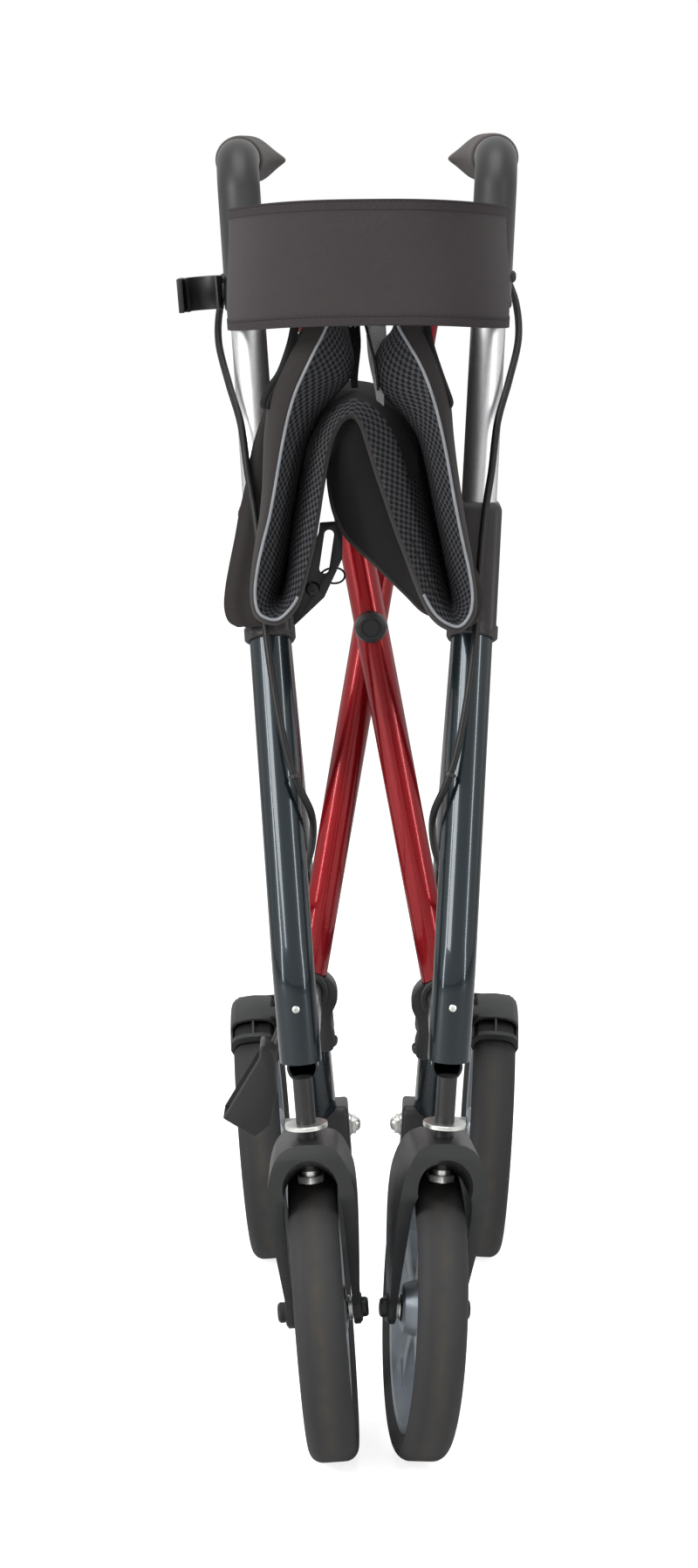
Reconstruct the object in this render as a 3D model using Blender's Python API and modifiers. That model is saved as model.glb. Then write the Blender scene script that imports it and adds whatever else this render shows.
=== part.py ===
"""A folding four-wheeled walking frame, folded and standing on its wheels.

Metres, +Z up. -Y is the front, where the casters are, and -X is the side called left. Each side frame is
modelled upright, in its own axes: x outboard, y back, z above the floor. It then leans about its hinge line.
"""

import math

import bmesh
import bpy
from mathutils import Quaternion, Vector

FIT_GAP = 0.0003
RUN_GAP = 0.0003

# Fold linkage
FOLD_ANGLE = math.radians(10.1)
FOLD_TRAVEL = math.radians(36.9)
PIVOT_Y = -0.030
PIVOT_Z = 0.520
LOWER_ARM = 0.261
UPPER_ARM = 0.226
LEAN = math.radians(4.0)
CROSS_RADIUS = 0.0112
CROSS_WALL = 0.0016
CROSS_SPACING = 0.025
SEAT_RAIL_RADIUS = 0.008
SEAT_RAIL_FRONT_Y = -0.240
CLAMP_RADIUS = 0.0145
CLAMP_LENGTH = 0.0245
HINGE_X = LOWER_ARM * math.sin(FOLD_ANGLE)
HINGE_Z = PIVOT_Z - LOWER_ARM * math.cos(FOLD_ANGLE)

# Side frame tubes
HEAD_Y = -0.262
BEND_Z = 0.330
BEND_RADIUS = 0.070
RAKE = math.radians(22.0)
FRAME_RADIUS = 0.01325
FRAME_BORE = 0.0119
FRAME_FOOT_Z = 0.272
FRAME_TOP_Z = 0.606
BORE_FLOOR_Z = 0.385
LEG_RADIUS = 0.01175
LEG_WALL = 0.0016
LEG_TOP = Vector((0.0, -0.1422, 0.552))
LEG_FOOT = Vector((0.006, 0.2380, 0.0900))
RAIL_RADIUS = 0.010
RAIL_WALL = 0.0015

# Junction housing and its slotted guide
HOUSING_WIDTH = 0.0295
HOUSING_TOP_Z = 0.614
HOUSING_FOOT_Z = 0.512
HOUSING_EDGE = 0.004
GUIDE_Y = -0.150
GUIDE_THICKNESS = 0.004
GUIDE_REACH = 0.0259
GUIDE_DROP = 0.0662
CRADLE_GAP = 0.0006

# Handle
HANDLE_RADIUS = 0.0114
HANDLE_WALL = 0.0014
HANDLE_FOOT_Z = 0.450
HANDLE_Z = 0.832
HANDLE_BEND = 0.035
HANDLE_CORNER_Y = HEAD_Y + (HANDLE_Z - BEND_Z) * math.tan(RAKE)
HANDLE_END_Y = HANDLE_CORNER_Y + 0.1772
CASING_RADIUS = 0.014
CASING_FOOT_Z = HANDLE_Z - 0.095
CASING_END_Y = HANDLE_CORNER_Y + 0.0392
GRIP_END_Y = HANDLE_CORNER_Y + 0.1912
LEVER_PIVOT = Vector((0.0, HANDLE_CORNER_Y + 0.0282, HANDLE_Z - 0.033))
LEVER_PIN = 0.0025
LEVER_RADIUS = 0.005
LEVER_DROP = 0.025
LEVER_END_Y = 0.090
PIN_Z = HOUSING_TOP_Z - 0.020
PIN_RADIUS = 0.003
PIN_SURFACE = 0.0300

# Casters
HEAD_RADIUS = 0.0165
HEAD_FOOT_Z = 0.232
HEAD_TOP_Z = 0.316
STEM_RADIUS = 0.006
STEM_TOP_Z = 0.2610
STEM_NUT = 0.0046
FORK_TOP_Z = HEAD_FOOT_Z - 0.0035
FORK_ARCH_Z = 0.1985
FORK_SHOULDER = 0.028
TRAIL = 0.037
CASTER_SWIVEL = {"left": 0.0, "right": math.radians(6.0)}

# Wheels
WHEEL_RADIUS = 0.098
TYRE_WIDTH = 0.032
TYRE_DEPTH = 0.017
TYRE_ROUND = 0.009
RIM_INSET = 0.004
WHEEL_SIDES = 28
SPOKES = 5
HUB_BORE = 0.0043
AXLE_RADIUS = 0.004
REAR_AXLE_Y = 0.225
REAR_TRACK = 0.050
LUG_INNER_X = -0.0145
LUG_OUTER_X = 0.0035

# Fender and brake
FENDER_GAP = 0.0030
FENDER_WALL = 0.0028
FENDER_HALF_WIDTH = 0.018
FENDER_START = math.radians(48.0)
FENDER_END = math.radians(88.0)
SHOE_GAP = 0.0015
SHOE_START = math.radians(96.0)
SHOE_END = math.radians(106.0)
ARM_PIVOT_ANGLE = math.radians(122.0)
ARM_PIVOT_REACH = 0.112
ARM_X = 0.0255
ARM_THICKNESS = 0.005
BRAKE_PLATE = 0.004
BRAKE_PLATE_X = 0.0202
CABLE_STOP_Y = 0.191

# Soft parts
SEAT_FRONT_Y = -0.235
SEAT_TUCK_Y = SEAT_FRONT_Y + 0.057
SEAT_BACK_Y = -0.060
SEAT_ROWS = (
    SEAT_FRONT_Y,
    SEAT_FRONT_Y + 0.010,
    SEAT_FRONT_Y + 0.025,
    SEAT_FRONT_Y + 0.041,
    SEAT_TUCK_Y,
    SEAT_BACK_Y,
)
PANEL_LENGTH = 0.144
PANEL_THICKNESS = 0.0016
PANEL_TILT = math.radians(7.5)
PANEL_FLARE = 0.0125
SLING_THICKNESS = 0.0018
HUMP_SHIFT = -0.008
STRAP_HEIGHT = 0.079
STRAP_Z = HANDLE_Z - 0.070
STRAP_THICKNESS = 0.0022
STRAP_FRONT_Y = -0.256
CABLE_RADIUS = 0.0024

# Cane holder
CLIP_RADIUS = 0.0130
CLIP_WALL = 0.0030
CLIP_X = CASING_RADIUS + CLIP_RADIUS + 0.0012
CLIP_Z = HANDLE_Z - 0.084
CLIP_HEIGHT = 0.022
CLIP_PLATE = 0.0028
CUP_AT = Vector((0.0490, 0.0700, 0.1730))
CUP_SIZE = Vector((0.034, 0.036, 0.060))
CUP_WALL = 0.0022
CUP_TILT = math.radians(14.0)

# Colours as (red, green, blue), roughness, metallic
PAINT = ((0.060, 0.075, 0.085), 0.35, 0.5)
RED = ((0.32, 0.012, 0.022), 0.2, 0.3)
SILVER = ((0.62, 0.62, 0.63), 0.3, 0.9)
ZINC = ((0.55, 0.55, 0.52), 0.35, 0.9)
BLACK = ((0.045, 0.045, 0.048), 0.5, 0.0)
BLACK_STEEL = ((0.03, 0.03, 0.03), 0.4, 0.6)
HUB_GREY = ((0.30, 0.35, 0.40), 0.45, 0.1)
TYRE = ((0.07, 0.07, 0.068), 0.8, 0.0)
CLOTH = ((0.06, 0.055, 0.058), 0.9, 0.0)

pieces = bpy.data.collections.new("rollator")
guides = bpy.data.collections.new("guides")


def clear_scene():
    for obj in list(bpy.data.objects):
        bpy.data.objects.remove(obj, do_unlink=True)
    bpy.context.scene.collection.children.link(pieces)
    bpy.context.scene.collection.children.link(guides)


def empty(name, parent=None, at=(0.0, 0.0, 0.0), turn=(0.0, 0.0, 0.0)):
    obj = bpy.data.objects.new(name, None)
    obj.empty_display_size = 0.03
    pieces.objects.link(obj)
    obj.parent = parent
    obj.location = at
    obj.rotation_euler = turn
    return obj


def material(name, finish):
    colour, roughness, metallic = finish
    found = bpy.data.materials.new(name)
    found.use_nodes = True
    shader = found.node_tree.nodes["Principled BSDF"]
    shader.inputs["Base Color"].default_value = (*colour, 1.0)
    shader.inputs["Roughness"].default_value = roughness
    shader.inputs["Metallic"].default_value = metallic
    return found


def add(name, data, parent, finish=None, at=(0.0, 0.0, 0.0), turn=(0.0, 0.0, 0.0)):
    """Adds an object. Without a finish it is a guide, which only cuts or extends a piece."""
    obj = bpy.data.objects.new(name, data)
    if finish is None:
        guides.objects.link(obj)
        obj.hide_render = True
        obj.display_type = "WIRE"
    else:
        pieces.objects.link(obj)
        data.materials.append(material(name, finish))
    obj.parent = parent
    obj.location = at
    obj.rotation_euler = turn
    return obj


def smooth(obj):
    obj.data.shade_smooth()
    obj.data.set_sharp_from_angle(angle=math.radians(35.0))
    return obj


def new_mesh(name, bm):
    mesh = bpy.data.meshes.new(name)
    bm.to_mesh(mesh)
    bm.free()
    return mesh


def box(name, parent, size, at, finish=None, edge=0.0, turn=(0.0, 0.0, 0.0)):
    bm = bmesh.new()
    bmesh.ops.create_cube(bm, size=1.0)
    bmesh.ops.scale(bm, vec=size, verts=bm.verts)
    obj = add(name, new_mesh(name, bm), parent, finish, at, turn)
    if edge:
        round_edges(obj, edge)
    return obj


def round_edges(obj, width, segments=1):
    bevel = obj.modifiers.new("edges", "BEVEL")
    bevel.width = width
    bevel.segments = segments
    bevel.limit_method = "ANGLE"


ALONG = {
    "x": (0.0, math.pi / 2, 0.0),
    "y": (-math.pi / 2, 0.0, 0.0),
    "z": (0.0, 0.0, 0.0),
}


def aim(direction):
    return Vector(direction).to_track_quat("Z", "X").to_euler()


def cylinder(name, parent, radius, length, at, along="z", finish=None, sides=24):
    """A cylinder centred on a point, along an axis letter or a direction."""
    bm = bmesh.new()
    bmesh.ops.create_cone(
        bm, cap_ends=True, segments=sides, radius1=radius, radius2=radius, depth=length
    )
    turn = ALONG[along] if isinstance(along, str) else aim(along)
    return smooth(add(name, new_mesh(name, bm), parent, finish, at, turn))


def turned(name, parent, profile, at, along="z", finish=None, sides=24, ring=False):
    """A turned shape. The profile holds (radius, height) and runs down its outer side."""
    bm = bmesh.new()
    verts = [bm.verts.new((radius, 0.0, height)) for radius, height in profile]
    for first, second in zip(verts, verts[1:]):
        bm.edges.new((first, second))
    if ring:
        bm.edges.new((verts[-1], verts[0]))
    turn = ALONG[along] if isinstance(along, str) else aim(along)
    obj = add(name, new_mesh(name, bm), parent, finish, at, turn)
    screw = obj.modifiers.new("turn", "SCREW")
    screw.steps = sides
    screw.render_steps = sides
    screw.use_merge_vertices = True
    screw.merge_threshold = 0.00001
    return obj


def pipe(name, parent, start, end, radius, wall, finish, sides=16):
    """A straight open tube from one point to another."""
    start = Vector(start)
    end = Vector(end)
    half = (end - start).length / 2
    profile = [(radius, half), (radius, -half), (radius - wall, -half), (radius - wall, half)]
    middle = (start + end) / 2
    obj = turned(name, parent, profile, middle, end - start, finish, sides, ring=True)
    return smooth(obj)


def rounded_path(corners, radius, steps=6):
    """The corner points as a path whose inner corners are arcs."""
    corners = [Vector(corner) for corner in corners]
    points = [corners[0]]
    for before, corner, after in zip(corners, corners[1:], corners[2:]):
        back = (before - corner).normalized()
        onward = (after - corner).normalized()
        half = back.angle(onward) / 2
        centre = corner + (back + onward).normalized() * (radius / math.sin(half))
        start = corner + back * (radius / math.tan(half)) - centre
        end = corner + onward * (radius / math.tan(half)) - centre
        turn = start.rotation_difference(end)
        for step in range(steps + 1):
            points.append(centre + Quaternion().slerp(turn, step / steps) @ start)
    points.append(corners[-1])
    return points


def smooth_path(points, steps=4):
    """A smooth curve through hand-placed points, as closer points along it."""
    points = [Vector(point) for point in points]
    first = points[0] * 2 - points[1]
    last = points[-1] * 2 - points[-2]
    ends = [first, *points, last]
    path = [points[0]]
    for a, b, c, d in zip(ends, ends[1:], ends[2:], ends[3:]):
        for step in range(1, steps + 1):
            t = step / steps
            path.append(
                0.5
                * (
                    2 * b
                    + (c - a) * t
                    + (2 * a - 5 * b + 4 * c - d) * t**2
                    + (3 * b - a - 3 * c + d) * t**3
                )
            )
    return path


def curve_data(name, lines, dimensions="3D"):
    data = bpy.data.curves.new(name, "CURVE")
    data.dimensions = dimensions
    data.use_fill_caps = True
    for line in lines:
        spline = data.splines.new("POLY")
        spline.points.add(len(line) - 1)
        for point, target in zip(line, spline.points):
            target.co = (*point, 1.0) if len(point) == 3 else (*point, 0.0, 1.0)
        spline.use_cyclic_u = dimensions == "2D"
    return data


def mesh_of(curve):
    """The curve as a mesh object with its caps welded on."""
    graph = bpy.context.evaluated_depsgraph_get()
    mesh = bpy.data.meshes.new_from_object(curve.evaluated_get(graph))
    bm = bmesh.new()
    bm.from_mesh(mesh)
    bmesh.ops.remove_doubles(bm, verts=bm.verts, dist=0.000001)
    bm.to_mesh(mesh)
    bm.free()
    name = curve.name
    made = bpy.data.objects.new(name, mesh)
    for home in curve.users_collection:
        home.objects.link(made)
    made.parent = curve.parent
    made.location = curve.location
    made.rotation_euler = curve.rotation_euler
    made.hide_render = curve.hide_render
    made.display_type = curve.display_type
    bpy.data.objects.remove(curve, do_unlink=True)
    made.name = name
    return made


def tube(name, parent, path, radius, finish=None, resolution=6, keep_curve=False):
    """A round bar along a path, with 4 + 2 x resolution sides."""
    data = curve_data(name, [path])
    data.bevel_depth = radius
    data.bevel_resolution = resolution
    obj = add(name, data, parent, finish)
    if keep_curve:
        return obj
    bpy.context.view_layer.update()
    return smooth(mesh_of(obj))


def plate(name, parent, outlines, thickness, at, plane="xz", finish=None, edge=0.0):
    """A flat plate from outlines drawn in plane xy, xz or yz, centred on its thickness."""
    data = curve_data(name, outlines, "2D")
    data.fill_mode = "BOTH"
    data.extrude = thickness / 2
    turn = {
        "xy": (0.0, 0.0, 0.0),
        "xz": (math.pi / 2, 0.0, 0.0),
        "yz": (math.pi / 2, 0.0, math.pi / 2),
    }[plane]
    obj = add(name, data, parent, finish, at, turn)
    bpy.context.view_layer.update()
    obj = mesh_of(obj)
    if edge:
        round_edges(obj, edge)
    return obj


def arc(centre, radius, start, end, steps=8):
    """Points along an arc, with its angles in degrees."""
    points = []
    for step in range(steps + 1):
        angle = math.radians(start + (end - start) * step / steps)
        points.append(
            (
                centre[0] + radius * math.cos(angle),
                centre[1] + radius * math.sin(angle),
            )
        )
    return points


def grid_sheet(name, parent, rows, thickness, finish):
    """A cloth sheet through rows of points, thickened both ways."""
    bm = bmesh.new()
    made = [[bm.verts.new(point) for point in row] for row in rows]
    for row, above in zip(made, made[1:]):
        for a, b, c, d in zip(row, row[1:], above[1:], above):
            bm.faces.new((a, b, c, d))
    obj = smooth(add(name, new_mesh(name, bm), parent, finish))
    solid = obj.modifiers.new("cloth", "SOLIDIFY")
    solid.thickness = thickness
    solid.offset = 0.0
    solid.use_even_offset = True
    return obj


def ring_loft(name, parent, rings, finish):
    """A closed shape through rings of points, with flat ends."""
    bm = bmesh.new()
    made = [[bm.verts.new(point) for point in ring] for ring in rings]
    for ring, after in zip(made, made[1:]):
        for i in range(len(ring)):
            j = (i + 1) % len(ring)
            bm.faces.new((ring[i], ring[j], after[j], after[i]))
    bm.faces.new(made[0])
    bm.faces.new(made[-1])
    bmesh.ops.recalc_face_normals(bm, faces=bm.faces)
    return smooth(add(name, new_mesh(name, bm), parent, finish))


def boolean(obj, other, operation):
    modifier = obj.modifiers.new(other.name, "BOOLEAN")
    modifier.operation = operation
    modifier.object = other
    return obj


def cut(obj, other):
    return boolean(obj, other, "DIFFERENCE")


def join(obj, other):
    return boolean(obj, other, "UNION")


def smoothstep(value, low, high):
    t = min(max((value - low) / (high - low), 0.0), 1.0)
    return t * t * (3 - 2 * t)


# Places that several pieces share


def raked_y(height):
    """Where the leaning part of the front tube's axis is at a height."""
    return HEAD_Y + (height - BEND_Z) * math.tan(RAKE)


def raked_point(height):
    return Vector((0.0, raked_y(height), height))


RAKE_AXIS = Vector((0.0, math.sin(RAKE), math.cos(RAKE)))
RAKE_BACK = Vector((0.0, math.cos(RAKE), -math.sin(RAKE)))
LEG_AXIS = (LEG_FOOT - LEG_TOP).normalized()
LEG_BACK = Vector((0.0, -LEG_AXIS.z, LEG_AXIS.y)).normalized()


def leg_point(height):
    share = (LEG_TOP.z - height) / (LEG_TOP.z - LEG_FOOT.z)
    return LEG_TOP + (LEG_FOOT - LEG_TOP) * share


def tyre_profile():
    """The tyre's section as (radius, height): out over the tread, then back through the bore."""
    half = TYRE_WIDTH / 2
    inner = WHEEL_RADIUS - TYRE_DEPTH
    shoulder = WHEEL_RADIUS - TYRE_ROUND
    rim = half - RIM_INSET
    return [
        (inner, rim),
        (shoulder, half),
        (WHEEL_RADIUS, half - TYRE_ROUND),
        (WHEEL_RADIUS, -half + TYRE_ROUND),
        (shoulder, -half),
        (inner, -rim),
    ]


# A wheel stands on a flat of its faceted tread, so its lowest points are half a facet round
WHEEL_DROP = max(
    radius * math.cos(math.pi / WHEEL_SIDES) * math.cos(LEAN) + height * math.sin(LEAN)
    for radius, height in tyre_profile()
)
FRONT_AXLE_Z = HINGE_Z + (WHEEL_DROP - HINGE_Z) / math.cos(LEAN)
REAR_AXLE_Z = FRONT_AXLE_Z + REAR_TRACK * math.tan(LEAN)
REAR_AXLE = Vector((0.0, REAR_AXLE_Y, REAR_AXLE_Z))


def on_wheel(reach, angle, x=0.0):
    """A point about the rear axle: its angle rises from the front, level, to straight up."""
    return Vector(
        (
            x,
            REAR_AXLE_Y - reach * math.cos(angle),
            REAR_AXLE_Z + reach * math.sin(angle),
        )
    )


ARM_PIVOT = on_wheel(ARM_PIVOT_REACH, ARM_PIVOT_ANGLE)
FENDER_INNER = WHEEL_RADIUS + FENDER_GAP


def reach_out(x, z):
    """How far from the middle plane a point of a leaning side frame lies."""
    return HINGE_X + x * math.cos(LEAN) + (z - HINGE_Z) * math.sin(LEAN)


LEFT_REACH = reach_out(CLIP_X + CLIP_RADIUS + CLIP_PLATE, CLIP_Z + CLIP_HEIGHT / 2)
RIGHT_REACH = reach_out(
    REAR_TRACK + FENDER_HALF_WIDTH, REAR_AXLE_Z + FENDER_INNER * math.sin(FENDER_END)
)
SHIFT_X = (LEFT_REACH - RIGHT_REACH) / 2
FRONT_REACH = -HEAD_Y - TRAIL + WHEEL_RADIUS
SHIFT_Y = (FRONT_REACH - REAR_AXLE_Y - WHEEL_RADIUS) / 2


class Side:
    """One side of the frame: its name, the sign of x, and its empties."""

    def __init__(self, name, base):
        self.name = name
        self.sign = -1.0 if name == "left" else 1.0
        self.lean = empty(
            f"hinge_line_{name}",
            base,
            (self.sign * HINGE_X, 0.0, HINGE_Z),
            (0.0, self.sign * LEAN, 0.0),
        )
        self.frame = empty(f"frame_{name}", self.lean, (0.0, 0.0, -HINGE_Z))

    def called(self, piece):
        return f"{piece}_{self.name}"

    def out(self, x, y, z):
        """A point given with x outboard, on this side."""
        return Vector((self.sign * x, y, z))

    def flip(self, points):
        return [(self.sign * point[0], *point[1:]) for point in points]


def front_tube(side):
    name = side.called("front_tube")
    foot = Vector((0.0, HEAD_Y, FRAME_FOOT_Z))
    corner = Vector((0.0, HEAD_Y, BEND_Z))
    path = rounded_path([foot, corner, raked_point(FRAME_TOP_Z)], BEND_RADIUS, 3)
    obj = tube(name, side.frame, path, FRAME_RADIUS, PAINT)
    floor = raked_point(BORE_FLOOR_Z)
    length = (raked_point(FRAME_TOP_Z) - floor).length + 0.010
    bore = cylinder(
        f"{name}_bore",
        side.frame,
        FRAME_BORE,
        length,
        floor + RAKE_AXIS * length / 2,
        RAKE_AXIS,
        sides=20,
    )
    cut(obj, bore)
    cut(obj, pin_hole(side, name))


def pin_hole(side, name):
    """The hole for the height pin, from the front tube's axis out through the housing."""
    length = 0.045
    middle = raked_point(PIN_Z) + RAKE_BACK * length / 2
    return cylinder(
        f"{name}_pin_hole",
        side.frame,
        PIN_RADIUS + RUN_GAP,
        length,
        middle,
        RAKE_BACK,
        sides=16,
    )


def height_pin(side):
    """A spring pin's shank, from beside the handle tube, and its knob outside the housing."""
    tip = FRAME_BORE + RUN_GAP
    neck = PIN_SURFACE + FIT_GAP
    end = neck + 0.009
    knob = 0.0075
    profile = [
        (0.0, end),
        (knob * 0.7, end),
        (knob, end - 0.002),
        (knob, neck),
        (PIN_RADIUS, neck),
        (PIN_RADIUS, tip),
        (0.0, tip),
    ]
    at = raked_point(PIN_Z)
    turned(
        side.called("height_pin"),
        side.frame,
        profile,
        at,
        RAKE_BACK,
        BLACK_STEEL,
        sides=12,
    )


def rear_leg(side):
    name = side.called("rear_leg")
    top = side.out(*LEG_TOP)
    foot = side.out(*LEG_FOOT)
    obj = pipe(name, side.frame, foot, top, LEG_RADIUS, LEG_WALL, PAINT)
    cut(
        obj,
        cylinder(
            f"{name}_axle_hole",
            side.frame,
            AXLE_RADIUS + RUN_GAP,
            0.06,
            REAR_AXLE,
            "x",
            sides=14,
        ),
    )


def leg_bar(side, name, radius):
    """A guide along the whole rear leg."""
    top = side.out(*LEG_TOP)
    foot = side.out(*LEG_FOOT)
    return tube(name, side.frame, [top, foot], radius)


def lower_rail(side):
    name = side.called("lower_rail")
    front = HEAD_Y + HEAD_RADIUS + 0.001
    back = leg_point(HINGE_Z).y
    start = (0.0, front, HINGE_Z)
    end = (0.0, back, HINGE_Z)
    obj = pipe(name, side.frame, start, end, RAIL_RADIUS, RAIL_WALL, PAINT)
    cut(obj, leg_bar(side, f"{name}_end", LEG_RADIUS + FIT_GAP))


def tube_housing(side):
    """The moulded housing that holds the front tube and the rear leg, and guides the handle tube."""
    name = side.called("tube_housing")
    socket = leg_point(0.527)
    across = LEG_BACK * (LEG_RADIUS + FIT_GAP + 0.0025)
    front = raked_y(HOUSING_FOOT_Z) - FRAME_RADIUS / math.cos(RAKE) - 0.0022
    top_front = raked_y(HOUSING_TOP_Z) - FRAME_RADIUS / math.cos(RAKE) - 0.0022
    top_back = raked_y(HOUSING_TOP_Z) + FRAME_RADIUS / math.cos(RAKE) + 0.0030
    behind_leg = LEG_TOP + LEG_BACK * (LEG_RADIUS + FIT_GAP + 0.0025)
    outline = [
        (front, HOUSING_FOOT_Z),
        (raked_y(HOUSING_FOOT_Z) + 0.018, HOUSING_FOOT_Z),
        (socket.y - across.y, socket.z - across.z),
        (socket.y + across.y, socket.z + across.z),
        (behind_leg.y, behind_leg.z + 0.004),
        (top_back, HOUSING_TOP_Z),
        (top_front, HOUSING_TOP_Z),
    ]
    obj = plate(
        name,
        side.frame,
        [outline],
        HOUSING_WIDTH,
        (0.0, 0.0, 0.0),
        "yz",
        BLACK,
        HOUSING_EDGE,
    )
    boss_start = 0.016
    boss = cylinder(
        f"{name}_pin_boss",
        side.frame,
        0.0065,
        PIN_SURFACE - boss_start,
        raked_point(PIN_Z) + RAKE_BACK * (PIN_SURFACE + boss_start) / 2,
        RAKE_BACK,
        sides=12,
    )
    join(obj, boss)
    seat = raked_point(FRAME_TOP_Z) + RAKE_AXIS * 0.0006
    below = raked_point(0.480)
    cut(
        obj,
        cylinder(
            f"{name}_socket",
            side.frame,
            FRAME_RADIUS + FIT_GAP,
            (seat - below).length,
            (seat + below) / 2,
            RAKE_AXIS,
            sides=24,
        ),
    )
    cut(
        obj,
        cylinder(
            f"{name}_guide",
            side.frame,
            HANDLE_RADIUS + FIT_GAP,
            0.05,
            raked_point(HOUSING_TOP_Z),
            RAKE_AXIS,
            sides=24,
        ),
    )
    start = side.out(*(LEG_TOP - LEG_AXIS * 0.0006))
    cut(
        obj,
        tube(
            f"{name}_leg_socket",
            side.frame,
            [start, side.out(*leg_point(0.45))],
            LEG_RADIUS + FIT_GAP,
        ),
    )
    cut(obj, pin_hole(side, name))


def guide_bracket(side):
    """A slotted plate on the housing's inner side. The open seat's rail comes to rest in its cradle."""
    name = side.called("guide_bracket")
    root = -HOUSING_WIDTH / 2 - FIT_GAP
    rail_x, rail_z = open_rail_place()
    tip = rail_x - GUIDE_REACH
    reach = SEAT_RAIL_RADIUS + FIT_GAP + PANEL_THICKNESS + CRADLE_GAP
    cradle = arc((rail_x, rail_z), reach, 190, 350, 10)
    outline = [
        (root, rail_z - GUIDE_DROP),
        (root, min(rail_z, cradle[-1][1])),
        *reversed(cradle),
        (rail_x - reach - 0.0008, rail_z + 0.003),
        (tip + 0.003, rail_z + 0.003),
        (tip, rail_z),
        (tip + 0.002, rail_z - 0.0212),
        (tip + 0.0155, rail_z - 0.0452),
    ]
    slot_width = 0.0031
    slot_top = (rail_x - reach - 0.0062, rail_z - 0.005)
    slot_foot = (slot_top[0] + 0.005, slot_top[1] - 0.022)
    slot = [*arc(slot_top, slot_width, 13, 193, 6), *arc(slot_foot, slot_width, 193, 373, 6)]
    plate(
        name,
        side.frame,
        [side.flip(outline), side.flip(slot)],
        GUIDE_THICKNESS,
        (0.0, GUIDE_Y, 0.0),
        "xz",
        BLACK,
    )


def open_rail_place():
    """Where the seat rail lies in the upright side frame once the frame is open, as x and z."""
    angle = FOLD_ANGLE + FOLD_TRAVEL
    across = (UPPER_ARM - LOWER_ARM) * math.sin(angle)
    rise = (UPPER_ARM + LOWER_ARM) * math.cos(angle)
    return across, HINGE_Z + rise


def caster_head(side):
    """The sleeve at the foot of the front tube, with a bore for the caster's stem below."""
    name = side.called("caster_head")
    profile = [
        (0.0, HEAD_TOP_Z),
        (HEAD_RADIUS - 0.0012, HEAD_TOP_Z),
        (HEAD_RADIUS, HEAD_TOP_Z - 0.004),
        (HEAD_RADIUS, HEAD_FOOT_Z),
        (0.0, HEAD_FOOT_Z),
    ]
    obj = turned(name, side.frame, profile, (0.0, HEAD_Y, 0.0), "z", BLACK, sides=20)
    boss_length = 0.032
    join(
        obj,
        cylinder(
            f"{name}_boss",
            side.frame,
            RAIL_RADIUS + 0.0035,
            boss_length,
            (0.0, HEAD_Y + boss_length / 2, HINGE_Z),
            "y",
            sides=16,
        ),
    )
    tall = 0.060
    socket_z = FRAME_FOOT_Z - FIT_GAP + tall / 2
    cut(
        obj,
        cylinder(
            f"{name}_socket",
            side.frame,
            FRAME_RADIUS + FIT_GAP,
            tall,
            (0.0, HEAD_Y, socket_z),
            sides=20,
        ),
    )
    stem_top = STEM_TOP_Z + FIT_GAP
    cut(
        obj,
        cylinder(
            f"{name}_bearing",
            side.frame,
            STEM_RADIUS + RUN_GAP,
            0.060,
            (0.0, HEAD_Y, stem_top - 0.030),
            sides=16,
        ),
    )
    rail_start = HEAD_Y + HEAD_RADIUS + 0.001 - FIT_GAP
    cut(
        obj,
        cylinder(
            f"{name}_rail_socket",
            side.frame,
            RAIL_RADIUS + FIT_GAP,
            0.040,
            (0.0, rail_start + 0.020, HINGE_Z),
            "y",
            sides=20,
        ),
    )


def caster(side):
    """A fork that swivels about its stem, and its wheel."""
    swivel = empty(
        side.called("caster_swivel"),
        side.frame,
        (0.0, HEAD_Y, 0.0),
        (0.0, 0.0, side.sign * CASTER_SWIVEL[side.name]),
    )
    fork(side, swivel)
    stem_bolt(side, swivel)
    axle = empty(side.called("caster_axle"), swivel, (0.0, TRAIL, FRONT_AXLE_Z))
    wheel(side, axle, "front")
    front_axle(side, axle)


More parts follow.
